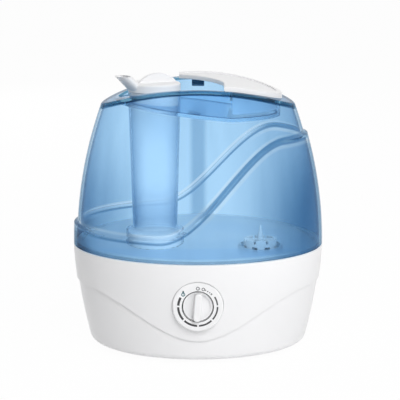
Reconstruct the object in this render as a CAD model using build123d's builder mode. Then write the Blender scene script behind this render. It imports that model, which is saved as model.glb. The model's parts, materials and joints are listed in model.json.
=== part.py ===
# Cool mist humidifier with a lift-off water tank, in millimetres.
# The origin is at the middle of the footprint, on the surface that the feet stand on.
# +Z is up, the dial faces -Y and the mist spout points to -X and a little to the front.

from build123d import *
import os
from math import cos, pi, radians, sin, sqrt, tan

os.makedirs("parts", exist_ok=True)

# Whole body
RIM_WIDTH = 220.0  # across the rim where the tank meets the base
RIM_DEPTH = 186.0
RIM_Z = 90.0
FOOT_HEIGHT = 3.0
TANK_HEIGHT = 141.0  # from the rim to the crown of the arched top

# Clearances
SLIP = 0.3  # between pieces that are put together by hand
SEAM = 0.15  # between pieces that are welded, glued or snapped
RUNNING = 0.06  # round a shaft, on the radius
PARTING_GAP = 0.4  # between the tank wall and the rim
TUBE_PLAY = 0.7  # round the mist tube, on the radius
OVERCUT = 2.0  # how far a cutter runs past a face

# Base housing
BASE_TAPER = 13.5  # draw-in of the side from the rim to the foot
BASE_TAPER_POWER = 1.62
BASE_EDGE_RADIUS = 7.0
HOUSING_WALL = 2.2
APRON_STEP = 1.4  # how far the upper apron stands proud of the lower body
APRON_LOW_Z = 22.0  # lower edge of the apron at the front and back
APRON_HIGH_Z = 60.0  # and at the sides
APRON_HALF_SPAN = 95.0
RIM_LIP = 1.2  # rounding of the rim

# Bottom cover, feet and screws
COVER_WALL = 2.5
COVER_BORDER = 4.0
COVER_LEDGE = 4.0
COVER_LEDGE_HEIGHT = 2.5
FOOT_RADIUS = 7.5
FOOT_RECESS = 1.2
FOOT_X = 56.0
FOOT_Y = 30.0
SCREW_X = 39.0
SCREW_Y = 50.0
SCREW_RADIUS = 1.5
SCREW_HEAD_RADIUS = 3.4
SCREW_HEAD = 1.6
SCREW_LENGTH = 13.0
BOSS_WALL = 2.8
INTAKE_SLOT_WIDTH = 2.4
INTAKE_SLOT_PITCH = 4.6
INTAKE_SLOTS = 7

# Water tray
TRAY_DROP = 20.0  # from the rim to the seat of the tray
TRAY_WALL = 2.5
TRAY_LEDGE = 5.0
TRAY_LEDGE_HEIGHT = 3.0
BASIN_DEPTH = 16.5
BASIN_MARGIN = 7.0  # round the mist tube
CAP_MARGIN = 5.0  # round the tank cap
BASIN_ROUNDING = 2.0
AIR_GRATE_SLOTS = 4
AIR_GRATE_BAR = 2.0

# Mist path
MIST_X = -38.0
MIST_TUBE_RADIUS = 23.0
MIST_TUBE_WALL = 1.8
MIST_TUBE_RISE = 9.0  # above the rim
WATER_ARCH_WIDTH = 11.0
WATER_ARCH_HEIGHT = 12.0
AIR_WINDOW_WIDTH = 24.0
AIR_WINDOW_HEIGHT = 8.0
CHIMNEY_WALL = 1.8
CHIMNEY_FOOT_RISE = 12.0  # height of the foot collar above the tank floor
CHIMNEY_LOW_RADIUS = 19.5
CHIMNEY_TOP_RADIUS = 23.0
CHIMNEY_DROP = 7.0  # from the crown of the tank to the chimney's rim
SOCKET_DEPTH = 14.0

# Mist maker under the tray
SUMP_RADIUS = 17.0
SUMP_DEPTH = 9.0
SUMP_FLANGE = 2.5  # reach of the flange past the cup's wall
SUMP_FLANGE_HEIGHT = 2.0
DISC_RADIUS = 12.5
DISC_THICKNESS = 1.3
DISC_WINDOW = 10.0
SEAL_RADIUS = 16.0
SEAL_HEIGHT = 3.6
SEAL_LIP = 1.0
CLAMP_RADIUS = 22.0
CLAMP_THICKNESS = 3.0
CLAMP_SCREW_CIRCLE = 19.0
CLAMP_FINS = 5
CLAMP_FIN_HEIGHT = 6.0
CLAMP_FIN_THICKNESS = 1.6

# Fan and air duct
FAN_X = 8.0
FAN_Y = 37.0
FAN_SIZE = 40.0
FAN_HEIGHT = 10.0
FAN_POST_HEIGHT = 2.0
FAN_POST_RADIUS = 3.0
FAN_BORE_RADIUS = 18.8
FAN_HUB_RADIUS = 10.5
FAN_PLATE = 1.6
FAN_TIP_GAP = 0.7
FAN_SHAFT_RADIUS = 1.5
FAN_BEARING_RADIUS = 3.6
FAN_BLADES = 7
FAN_BLADE_THICKNESS = 1.1
FAN_BLADE_PITCH = 32.0  # degrees from level
DUCT_WIDTH = 38.0
DUCT_DEPTH = 30.0
DUCT_WALL = 1.6

# Boards
BOARD_THICKNESS = 1.6
DRIVER_X = -42.0
DRIVER_Y = -4.0
DRIVER_WIDTH = 58.0
DRIVER_DEPTH = 42.0
DRIVER_LIFT = 7.0
STANDOFF_RADIUS = 2.8
SINK_WIDTH = 20.0
SINK_DEPTH = 14.0
SINK_HEIGHT = 15.0
SINK_FINS = 5
SINK_FIN_THICKNESS = 1.2
CAPACITOR_RADIUS = 4.5
CAPACITOR_HEIGHT = 12.0
REED_RADIUS = 1.3
REED_LENGTH = 14.0

# Power inlet
INLET_X = -28.0
INLET_Z = 18.0
INLET_RADIUS = 5.5
INLET_LENGTH = 16.0
INLET_BORE = 3.2
INLET_BORE_DEPTH = 10.0
INLET_PIN = 1.0
INLET_PROUD = 0.8

# Dial on the front
DIAL_Z = 54.0
DIAL_SETBACK = 2.0  # of the dial face behind the rim
BEZEL_RADIUS = 21.5
BEZEL_ROUNDING = 1.6
BEZEL_FACE = 2.6
BEZEL_WALL = 2.0
BEZEL_DEPTH = 11.4
BEZEL_FLANGE = 2.0
KNOB_RADIUS = 12.4
KNOB_GAP = 0.5
KNOB_SETBACK = 1.2  # of the knob's disc behind the dial face
KNOB_DISC = 4.0
KNOB_DISH = 1.6
KNOB_DISH_TAPER = 30.0  # degrees
GRIP_WIDTH = 6.4
GRIP_LENGTH = 24.0
GRIP_PROUD = 5.2  # in front of the dial face
GRIP_LEAN = 4.5  # degrees clockwise from upright
HUB_RADIUS = 5.0
HUB_LENGTH = 7.0
POT_SHAFT_RADIUS = 3.0
POT_BUSHING_RADIUS = 4.4
POT_BUSHING = 2.6
POT_SIZE = 17.0
POT_DEPTH = 8.0
CONTROL_WIDTH = 46.0
CONTROL_HEIGHT = 32.0
CONTROL_POST_X = 18.5
CONTROL_POST_RADIUS = 2.8

# Tank
TANK_WALL = 2.6
TANK_TAPER = 29.2  # draw-in of the side from the rim to the crown
WAVE_STEP = 3.1  # how far the lower wall stands proud of the upper wall
WAVE_LOW = 21.5  # height of the wave above the rim, on the left
WAVE_HIGH = 100.8  # and on the right
WAVE_MIDDLE_X = 19.5
WAVE_SPAN = 107.0
WAVE_SLOPE_OUT = 2.6
WAVE_SLOPE_UP = 5.0
ARCH_RADIUS = 217.0
ARCH_EDGE_RADIUS = 3.0
WELL_RING = 15.0  # width of the rim round the finger well
WELL_DEPTH = 25.0  # from the crown to the low end of the well
WELL_KNEE_X = 29.0
WELL_SLOPE = 6.9  # degrees
LATCH_WIDTH = 10.5
LATCH_HEIGHT = 5.4
LATCH_DEPTH = 4.0
LATCH_DROP = 3.0  # from the crown to the top of the latch

# Tank floor and filler neck
FLOOR_DROP = 0.5  # of the middle of the floor below the rim
FLOOR_SLOPE = 4.3  # degrees, up towards the back
FLOOR_WALL = 2.5
SPIGOT_DEPTH = 11.0  # into the rim
SPIGOT_PLAY = 1.4
SPIGOT_WALL = 2.2
SPIGOT_FLANGE = 3.0
FLOOR_RISE = 10.0  # highest reach of the floor above the rim
VALVE_X = 55.0
VALVE_Y = -8.0
NECK_RADIUS = 20.0
NECK_WALL = 2.5

# Tank cap and valve
CAP_RADIUS = 23.5
CAP_FLOOR = 2.2
CAP_HEIGHT = 15.0
CAP_LIFT = 10.0  # above the floor of the basin
CAP_RIBS = 18
CAP_RIB_RADIUS = 1.1
CAP_PORT_RADIUS = 7.5
GASKET_HEIGHT = 2.0
CAGE_RADIUS = 14.5
CAGE_WALL = 2.0
CAGE_RISE = 5.3  # above the tank floor
CAGE_FOOT = 5.0
CAGE_SLOTS = 8
CAGE_SLOT_WIDTH = 5.0
CROWN_BAND = 2.4
GUIDE_RADIUS = 4.5
GUIDE_HEIGHT = 3.0
GUIDE_SPOKES = 4
GUIDE_SPOKE_WIDTH = 2.0
STEM_RADIUS = 2.4
STEM_TAIL = 3.0  # below the valve seal
STEM_RISE = 12.0  # above the crown
STEM_POINT = 9.0
VALVE_TRAVEL = 4.7
VALVE_SEAL_RADIUS = 9.5
VALVE_SEAL_HEIGHT = 1.6
VALVE_PLATE = 2.0
PIN_RADIUS = 3.0
PIN_GAP = 0.2
SPRING_WIRE = 1.0
SPRING_RADIUS = 5.2  # to the middle of the wire
SPRING_TURNS = 5

# Float
FLOAT_X = 8.0
FLOAT_Y = -4.0
FLOAT_RADIUS = 11.0
FLOAT_HEIGHT = 7.5
FLOAT_TRAVEL = 8.0
FLOAT_POST_RADIUS = 3.0
FLOAT_PLAY = 0.4
FLOAT_CLIP_RADIUS = 5.0
FLOAT_CLIP_HEIGHT = 1.6
MAGNET_RADIUS = 6.5
MAGNET_HEIGHT = 3.0

# Handle
HANDLE_MARGIN = 11.0  # from the edge of the tank top
HANDLE_THICKNESS = 4.2
HANDLE_RIM = 5.0
HANDLE_RECESS = 0.9
HANDLE_FRONT_X = 22.0
HANDLE_TAIL_X = -17.0
HANDLE_CORNER_Y = -27.0
HANDLE_TAIL_Y = 36.0
SKIRT_LIFT = 3.5  # above the floor of the finger well
SKIRT_WALL = 2.2

# Nozzle
NOZZLE_HEIGHT = 7.2
NOZZLE_WALL = 2.0
NOZZLE_PLUG = 12.0
NOZZLE_ROUNDING = 2.0
NOZZLE_TURN = 27.0  # degrees from the left towards the front
SPOUT_HALF_WIDTH = 6.8
SPOUT_HALF_DEPTH = 10.0
SPOUT_WALL = 1.4
SPOUT_RISE = 13.9
SPOUT_ROOT = 15.6  # from the axis of the chimney
FIN_THICKNESS = 4.0
FIN_RISE = 8.0  # above the nozzle's disc
FIN_LEFT = 15.0
FIN_RIGHT = 20.6

# Places that follow from the sizes
DEPTH_CUT = (RIM_WIDTH - RIM_DEPTH) / 2  # how much shallower than wide the plan is, each side
COVER_TOP_Z = FOOT_HEIGHT + COVER_WALL
TRAY_SEAT_Z = RIM_Z - TRAY_DROP
DECK_Z = TRAY_SEAT_Z + TRAY_WALL
BASIN_Z = DECK_Z - BASIN_DEPTH
SUMP_Z = BASIN_Z - SUMP_DEPTH
SUMP_UNDER_Z = SUMP_Z - TRAY_WALL
CROWN_Z = RIM_Z + TANK_HEIGHT
ARCH_AXIS_Z = CROWN_Z - ARCH_RADIUS
FLOOR_Z = RIM_Z - FLOOR_DROP
CHIMNEY_TOP_Z = CROWN_Z - CHIMNEY_DROP
DIAL_FACE_Y = -RIM_DEPTH / 2 + DIAL_SETBACK
BEZEL_BACK_Y = DIAL_FACE_Y + BEZEL_DEPTH
CAP_Z = BASIN_Z + CAP_LIFT
CAP_SEAT_Z = CAP_Z + CAP_FLOOR
NECK_Z = CAP_SEAT_Z + GASKET_HEIGHT
VALVE_FLOOR_Z = FLOOR_Z + VALVE_Y * tan(radians(FLOOR_SLOPE))
CROWN_TOP_Z = VALVE_FLOOR_Z + CAGE_RISE
SEAL_Z = CAP_SEAT_Z + VALVE_TRAVEL + PIN_GAP / 2
PLATE_Z = SEAL_Z + VALVE_SEAL_HEIGHT
SPRING_Z = PLATE_Z + VALVE_PLATE
GUIDE_Z = CROWN_TOP_Z - GUIDE_HEIGHT
FAN_Z = COVER_TOP_Z + FAN_POST_HEIGHT
FAN_TOP_Z = FAN_Z + FAN_HEIGHT
BOARD_Z = COVER_TOP_Z + DRIVER_LIFT
BOARD_TOP_Z = BOARD_Z + BOARD_THICKNESS
FLOAT_Z = BASIN_Z + SLIP
NOZZLE_Z = CHIMNEY_TOP_Z + SLIP
FLOOR_PLANE = Plane.XY.offset(FLOOR_Z).rotated((FLOOR_SLOPE, 0, 0))


def half_sizes(half_width):
    """Half width and half depth of the oval plan."""
    return half_width, half_width - DEPTH_CUT


def base_half_width(z):
    """Half width of the apron at a height."""
    share = min(1.0, (z - FOOT_HEIGHT) / (RIM_Z - FOOT_HEIGHT))
    return RIM_WIDTH / 2 - BASE_TAPER * (1 - share) ** BASE_TAPER_POWER


def tank_half_width(z):
    """Half width of the tank's upper wall at a height."""
    share = (z - RIM_Z) / TANK_HEIGHT
    return RIM_WIDTH / 2 - WAVE_STEP - TANK_TAPER * share**2


def top_half_width():
    """Half width of the tank where its side meets the arched top."""
    half = RIM_WIDTH / 2
    for _ in range(20):
        half = tank_half_width(ARCH_AXIS_Z + sqrt(ARCH_RADIUS**2 - half**2))
    return half


def levels(low, high, count):
    """Evenly spaced heights from low to high."""
    return [low + (high - low) * i / count for i in range(count + 1)]


def oval_loft(heights, half_width):
    """Solid through one oval at each height."""
    with BuildPart() as form:
        for z in heights:
            with BuildSketch(Plane.XY.offset(z)):
                Ellipse(*half_sizes(half_width(z)))
        loft()
    return form.part


def oval_prism(half_width, low, high):
    """Upright oval block."""
    with BuildPart() as form:
        with BuildSketch(Plane.XY.offset(low)):
            Ellipse(*half_sizes(half_width))
        extrude(amount=high - low)
    return form.part


def side_plane(x, y=0):
    """Plane that faces the front, with its origin on the table."""
    return Plane(origin=(x, y, 0), x_dir=(1, 0, 0), z_dir=(0, -1, 0))


def front_plane(y):
    """Plane behind the dial that faces the front, at a depth, centred on the dial."""
    return Plane(origin=(0, y, DIAL_Z), x_dir=(1, 0, 0), z_dir=(0, -1, 0))


def turned(x, y, profile):
    """Solid turned about an upright axis from a closed outline of (radius, height) points."""
    with BuildPart() as form:
        with BuildSketch(side_plane(x, y)):
            with BuildLine():
                Polyline(*profile, close=True)
            make_face()
        revolve(axis=Axis((x, y, 0), (0, 0, 1)))
    return form.part


def tube(x, y, outer, inner, low, high):
    """Upright ring."""
    return turned(x, y, [(inner, low), (outer, low), (outer, high), (inner, high)])


def wave(low, high, start, end):
    """S-shaped line in a front view, level at both ends."""
    third = (end - start) / 3
    return Bezier((start, low), (start + third, low), (end - third, high), (end, high))


def write(piece, name):
    """Label a finished piece and write its file."""
    piece.part.label = name
    export_step(piece.part, f"parts/{name}.step")


# Base housing: a lower body, a proud apron with a smiling lower edge, open above and below
BASE_LEVELS = levels(FOOT_HEIGHT, RIM_Z, 5)
COVER_HALF = base_half_width(FOOT_HEIGHT) - APRON_STEP - BASE_EDGE_RADIUS - COVER_BORDER
SEAT_TOP_Z = COVER_TOP_Z + COVER_LEDGE_HEIGHT
LEDGE_Z = TRAY_SEAT_Z - TRAY_LEDGE_HEIGHT


def inner_half_width(z):
    """Half width of the hollow in the base at a height."""
    return base_half_width(z) - APRON_STEP - HOUSING_WALL


with BuildPart() as lower_body:
    add(oval_loft(BASE_LEVELS, lambda z: base_half_width(z) - APRON_STEP))
    fillet(lower_body.edges().group_by(Axis.Z)[0], BASE_EDGE_RADIUS)

with BuildPart() as apron:
    add(oval_loft(BASE_LEVELS, base_half_width))
    with BuildSketch(Plane.XZ):
        with BuildLine():
            wave(APRON_LOW_Z, APRON_HIGH_Z, 0, APRON_HALF_SPAN)
            wave(APRON_LOW_Z, APRON_HIGH_Z, 0, -APRON_HALF_SPAN)
            Polyline(
                (APRON_HALF_SPAN, APRON_HIGH_Z),
                (RIM_WIDTH, APRON_HIGH_Z),
                (RIM_WIDTH, -OVERCUT),
                (-RIM_WIDTH, -OVERCUT),
                (-RIM_WIDTH, APRON_HIGH_Z),
                (-APRON_HALF_SPAN, APRON_HIGH_Z),
            )
        make_face()
    extrude(amount=RIM_DEPTH, both=True, mode=Mode.SUBTRACT)

with BuildPart() as base_housing:
    add(lower_body.part)
    add(apron.part)
    fillet(base_housing.edges().group_by(Axis.Z)[-1], RIM_LIP)
    add(oval_loft(levels(SEAT_TOP_Z, RIM_Z + OVERCUT, 5), inner_half_width), mode=Mode.SUBTRACT)
    with BuildSketch(front_plane(-RIM_DEPTH / 2 - OVERCUT)):
        Circle(BEZEL_RADIUS + SLIP)
    extrude(amount=-BEZEL_DEPTH - 2 * OVERCUT - DIAL_SETBACK, mode=Mode.SUBTRACT)
    add(oval_prism(inner_half_width(TRAY_SEAT_Z) + HOUSING_WALL / 2, LEDGE_Z, TRAY_SEAT_Z))
    add(
        oval_prism(inner_half_width(TRAY_SEAT_Z) - TRAY_LEDGE, LEDGE_Z - OVERCUT, TRAY_SEAT_Z + OVERCUT),
        mode=Mode.SUBTRACT,
    )
    with BuildSketch(front_plane(-RIM_DEPTH / 2 - OVERCUT)):
        Circle(BEZEL_RADIUS + SLIP)
    extrude(amount=-BEZEL_FACE - DIAL_SETBACK - SLIP - OVERCUT, mode=Mode.SUBTRACT)
    add(oval_prism(COVER_HALF - COVER_LEDGE, FOOT_HEIGHT, SEAT_TOP_Z + OVERCUT), mode=Mode.SUBTRACT)
    add(oval_prism(COVER_HALF + SLIP, FOOT_HEIGHT - OVERCUT, COVER_TOP_Z + SEAM), mode=Mode.SUBTRACT)
    with BuildSketch(side_plane(0, RIM_DEPTH / 2)):
        with Locations((INLET_X, INLET_Z)):
            Circle(INLET_RADIUS + SEAM)
    extrude(amount=RIM_DEPTH / 4, mode=Mode.SUBTRACT)

# Bottom cover with intake slots, foot recesses, screw holes, fan posts and board standoffs
with BuildPart() as bottom_cover:
    add(oval_prism(COVER_HALF, FOOT_HEIGHT, COVER_TOP_Z))
    with BuildSketch(Plane.XY.offset(COVER_TOP_Z)):
        with Locations((FAN_X, FAN_Y)):
            with GridLocations(FAN_SIZE - 2 * FAN_POST_RADIUS, FAN_SIZE - 2 * FAN_POST_RADIUS, 2, 2):
                Circle(FAN_POST_RADIUS)
    extrude(amount=FAN_POST_HEIGHT)
    with BuildSketch(Plane.XY.offset(COVER_TOP_Z)):
        with Locations((DRIVER_X, DRIVER_Y)):
            with GridLocations(DRIVER_WIDTH - 4 * STANDOFF_RADIUS, DRIVER_DEPTH - 4 * STANDOFF_RADIUS, 2, 2):
                Circle(STANDOFF_RADIUS)
    extrude(amount=DRIVER_LIFT)
    with BuildSketch(Plane.XY.offset(FOOT_HEIGHT)):
        with Locations((FAN_X, FAN_Y)):
            with GridLocations(INTAKE_SLOT_PITCH, 0, INTAKE_SLOTS, 1):
                SlotOverall(FAN_SIZE - 4 * FAN_POST_RADIUS, INTAKE_SLOT_WIDTH, rotation=90)
        with GridLocations(2 * SCREW_X, 2 * SCREW_Y, 2, 2):
            Circle(SCREW_RADIUS + SLIP)
    extrude(amount=COVER_WALL, mode=Mode.SUBTRACT)
    with BuildSketch(Plane.XY.offset(FOOT_HEIGHT)):
        with GridLocations(2 * FOOT_X, 2 * FOOT_Y, 2, 2):
            Circle(FOOT_RADIUS + SEAM)
    extrude(amount=FOOT_RECESS, mode=Mode.SUBTRACT)
    with BuildSketch(Plane.XY.offset(FOOT_HEIGHT)):
        with GridLocations(2 * SCREW_X, 2 * SCREW_Y, 2, 2):
            Circle(SCREW_HEAD_RADIUS + SLIP)
    extrude(amount=SCREW_HEAD, mode=Mode.SUBTRACT)

with BuildPart() as rubber_feet:
    with BuildSketch():
        with GridLocations(2 * FOOT_X, 2 * FOOT_Y, 2, 2):
            Circle(FOOT_RADIUS)
    extrude(amount=FOOT_HEIGHT + FOOT_RECESS)
    chamfer(rubber_feet.edges().group_by(Axis.Z)[0], FOOT_RECESS / 2)

with BuildPart() as cover_screws:
    with BuildSketch(Plane.XY.offset(FOOT_HEIGHT)):
        with GridLocations(2 * SCREW_X, 2 * SCREW_Y, 2, 2):
            Circle(SCREW_HEAD_RADIUS)
    extrude(amount=SCREW_HEAD)
    with BuildSketch(Plane.XY.offset(FOOT_HEIGHT + SCREW_HEAD)):
        with GridLocations(2 * SCREW_X, 2 * SCREW_Y, 2, 2):
            Circle(SCREW_RADIUS)
    extrude(amount=SCREW_LENGTH)

# Water tray: a deck with one basin, a round seat for the sump, bosses, valve pin and float post
BASIN_RADIUS = MIST_TUBE_RADIUS + BASIN_MARGIN
CAP_POCKET_RADIUS = CAP_RADIUS + CAP_RIB_RADIUS + CAP_MARGIN
TRAY_HALF = inner_half_width(TRAY_SEAT_Z) - SLIP
PIN_TOP_Z = SEAL_Z - STEM_TAIL - PIN_GAP
CLIP_Z = FLOAT_Z + FLOAT_HEIGHT + FLOAT_TRAVEL + SLIP


def basin_prism(margin, low, high):
    """Block in plan round the mist tube and the tank cap."""
    with BuildPart() as form:
        with BuildSketch(Plane.XY.offset(low)):
            with Locations((MIST_X, 0)):
                Circle(BASIN_RADIUS + margin)
            with Locations((VALVE_X, VALVE_Y)):
                Circle(CAP_POCKET_RADIUS + margin)
            make_hull()
        extrude(amount=high - low)
    return form.part


DUCT_Y = BASIN_RADIUS + TRAY_WALL + SLIP + DUCT_WALL + DUCT_DEPTH / 2
BOSS_LOW_Z = COVER_TOP_Z + SEAM

with BuildPart() as water_tray:
    add(oval_prism(TRAY_HALF, TRAY_SEAT_Z, DECK_Z))
    add(basin_prism(TRAY_WALL, BASIN_Z - TRAY_WALL, DECK_Z))
    with BuildSketch(Plane.XY.offset(BOSS_LOW_Z)):
        with GridLocations(2 * SCREW_X, 2 * SCREW_Y, 2, 2):
            Circle(SCREW_RADIUS + BOSS_WALL)
    extrude(amount=TRAY_SEAT_Z - BOSS_LOW_Z)
    add(basin_prism(0, BASIN_Z, DECK_Z), mode=Mode.SUBTRACT)
    deck_edges = water_tray.faces().filter_by(Axis.Z).group_by(Axis.Z)[-1].edges()
    basin_edges = deck_edges.filter_by(lambda e: e.length < RIM_WIDTH)
    fillet(basin_edges.filter_by(lambda e: abs(e.center().Y) < BASIN_RADIUS + OVERCUT), BASIN_ROUNDING)
    add(tube(MIST_X, 0, SUMP_RADIUS + TRAY_WALL + SEAM, 0, BASIN_Z - TRAY_WALL, BASIN_Z), mode=Mode.SUBTRACT)
    add(tube(VALVE_X, VALVE_Y, PIN_RADIUS, 0, BASIN_Z - TRAY_WALL / 2, PIN_TOP_Z))
    add(tube(FLOAT_X, FLOAT_Y, FLOAT_POST_RADIUS, 0, BASIN_Z - TRAY_WALL / 2, CLIP_Z + FLOAT_CLIP_HEIGHT / 2))
    with BuildSketch(Plane.XY.offset(BOSS_LOW_Z)):
        with GridLocations(2 * SCREW_X, 2 * SCREW_Y, 2, 2):
            Circle(SCREW_RADIUS + SEAM)
    extrude(amount=SCREW_LENGTH, mode=Mode.SUBTRACT)
    with BuildSketch(Plane.XY.offset(TRAY_SEAT_Z)):
        with Locations((FAN_X, DUCT_Y)):
            with GridLocations(DUCT_WIDTH / AIR_GRATE_SLOTS, 0, AIR_GRATE_SLOTS, 1):
                Rectangle(DUCT_WIDTH / AIR_GRATE_SLOTS - AIR_GRATE_BAR, DUCT_DEPTH - AIR_GRATE_BAR)
    extrude(amount=TRAY_WALL, mode=Mode.SUBTRACT)

# Sump over the mist maker: a cup with a window, screw bosses and a flange that seats under the tray
SUMP_FLANGE_Z = BASIN_Z - TRAY_WALL - SUMP_FLANGE_HEIGHT
with BuildPart() as sump_cup:
    add(tube(MIST_X, 0, SUMP_RADIUS + TRAY_WALL, 0, SUMP_UNDER_Z, BASIN_Z))
    add(tube(MIST_X, 0, SUMP_RADIUS + TRAY_WALL + SUMP_FLANGE, 0, SUMP_FLANGE_Z, BASIN_Z - TRAY_WALL))
    with BuildSketch(Plane.XY.offset(SUMP_UNDER_Z - SEAL_HEIGHT + SEAM)):
        with Locations((MIST_X, 0)):
            with PolarLocations(CLAMP_SCREW_CIRCLE, 3):
                Circle(SCREW_RADIUS + BOSS_WALL / 2)
    extrude(amount=SUMP_FLANGE_Z - SUMP_UNDER_Z + SEAL_HEIGHT)
    add(tube(MIST_X, 0, SUMP_RADIUS, 0, SUMP_Z, BASIN_Z), mode=Mode.SUBTRACT)
    add(tube(MIST_X, 0, DISC_WINDOW, 0, SUMP_UNDER_Z, SUMP_Z), mode=Mode.SUBTRACT)
    with BuildSketch(Plane.XY.offset(SUMP_UNDER_Z - SEAL_HEIGHT)):
        with Locations((MIST_X, 0)):
            with PolarLocations(CLAMP_SCREW_CIRCLE, 3):
                Circle(SCREW_RADIUS / 2 + SEAM)
    extrude(amount=SEAL_HEIGHT + SUMP_DEPTH / 2, mode=Mode.SUBTRACT)

# Mist tube that stands in the basin and reaches into the tank's chimney
MIST_TUBE_TOP_Z = RIM_Z + MIST_TUBE_RISE
with BuildPart() as mist_tube:
    add(tube(MIST_X, 0, MIST_TUBE_RADIUS, MIST_TUBE_RADIUS - MIST_TUBE_WALL, BASIN_Z, MIST_TUBE_TOP_Z))
    chamfer(mist_tube.edges().group_by(Axis.Z)[-1], MIST_TUBE_WALL / 4)
    with BuildSketch(side_plane(MIST_X)):
        with Locations((0, BASIN_Z + WATER_ARCH_HEIGHT / 2)):
            RectangleRounded(WATER_ARCH_WIDTH, 2 * WATER_ARCH_HEIGHT, WATER_ARCH_WIDTH / 2 - SEAM)
    extrude(amount=MIST_TUBE_RADIUS + OVERCUT, both=True, mode=Mode.SUBTRACT)
    with BuildSketch(side_plane(MIST_X)):
        with Locations((0, DECK_Z + AIR_WINDOW_HEIGHT)):
            RectangleRounded(AIR_WINDOW_WIDTH, AIR_WINDOW_HEIGHT, AIR_WINDOW_HEIGHT / 4)
    extrude(amount=-MIST_TUBE_RADIUS - OVERCUT, mode=Mode.SUBTRACT)

# Mist maker: vibrating disc in a rubber seal, held up by a finned clamp
SEAL_UNDER_Z = SUMP_UNDER_Z - SEAL_HEIGHT
DISC_Z = SUMP_UNDER_Z - SEAL_LIP - DISC_THICKNESS
with BuildPart() as transducer_disc:
    add(tube(MIST_X, 0, DISC_RADIUS, 0, DISC_Z, DISC_Z + DISC_THICKNESS))

with BuildPart() as transducer_seal:
    add(tube(MIST_X, 0, SEAL_RADIUS, DISC_WINDOW, SEAL_UNDER_Z, SUMP_UNDER_Z))
    add(
        tube(MIST_X, 0, DISC_RADIUS + SEAM, 0, DISC_Z - SEAM, DISC_Z + DISC_THICKNESS + SEAM),
        mode=Mode.SUBTRACT,
    )

with BuildPart() as transducer_clamp:
    add(tube(MIST_X, 0, CLAMP_RADIUS, DISC_WINDOW, SEAL_UNDER_Z - CLAMP_THICKNESS, SEAL_UNDER_Z))
    with BuildSketch(Plane.XY.offset(SEAL_UNDER_Z - CLAMP_THICKNESS - CLAMP_FIN_HEIGHT)):
        with Locations((MIST_X, 0)):
            with GridLocations(0, 2 * SEAL_RADIUS / CLAMP_FINS, 1, CLAMP_FINS):
                Rectangle(2 * SEAL_RADIUS, CLAMP_FIN_THICKNESS)
            Circle(DISC_WINDOW + CLAMP_FIN_THICKNESS, mode=Mode.SUBTRACT)
    extrude(amount=CLAMP_FIN_HEIGHT + SEAM)
    with BuildSketch(Plane.XY.offset(SEAL_UNDER_Z - CLAMP_THICKNESS)):
        with Locations((MIST_X, 0)):
            with PolarLocations(CLAMP_SCREW_CIRCLE, 3):
                Circle(SCREW_RADIUS / 2 + SEAM)
    extrude(amount=CLAMP_THICKNESS, mode=Mode.SUBTRACT)

with BuildPart() as clamp_screws:
    with BuildSketch(Plane.XY.offset(SEAL_UNDER_Z - CLAMP_THICKNESS - SCREW_HEAD)):
        with Locations((MIST_X, 0)):
            with PolarLocations(CLAMP_SCREW_CIRCLE, 3):
                Circle(SCREW_RADIUS + SEAM)
    extrude(amount=SCREW_HEAD)
    with BuildSketch(Plane.XY.offset(SEAL_UNDER_Z - CLAMP_THICKNESS)):
        with Locations((MIST_X, 0)):
            with PolarLocations(CLAMP_SCREW_CIRCLE, 3):
                Circle(SCREW_RADIUS / 2)
    extrude(amount=CLAMP_THICKNESS + SEAL_HEIGHT)

# Fan that draws air through the cover and blows it up the duct
with BuildPart() as fan_frame:
    with BuildSketch(Plane.XY.offset(FAN_Z)):
        with Locations((FAN_X, FAN_Y)):
            RectangleRounded(FAN_SIZE, FAN_SIZE, FAN_POST_RADIUS)
            Circle(FAN_BORE_RADIUS, mode=Mode.SUBTRACT)
    extrude(amount=FAN_HEIGHT)
    with BuildSketch(Plane.XY.offset(FAN_Z)):
        with Locations((FAN_X, FAN_Y)):
            Circle(FAN_HUB_RADIUS)
            with PolarLocations((FAN_HUB_RADIUS + FAN_BORE_RADIUS) / 2, 3, start_angle=90):
                Rectangle(FAN_BORE_RADIUS - FAN_HUB_RADIUS + OVERCUT, FAN_BLADE_THICKNESS * 2)
    extrude(amount=FAN_PLATE)
    add(tube(FAN_X, FAN_Y, FAN_BEARING_RADIUS, 0, FAN_Z, FAN_TOP_Z - 2 * FAN_PLATE - FAN_TIP_GAP))
    add(
        tube(FAN_X, FAN_Y, FAN_SHAFT_RADIUS + RUNNING, 0, FAN_Z + FAN_PLATE / 2, FAN_TOP_Z),
        mode=Mode.SUBTRACT,
    )

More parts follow.
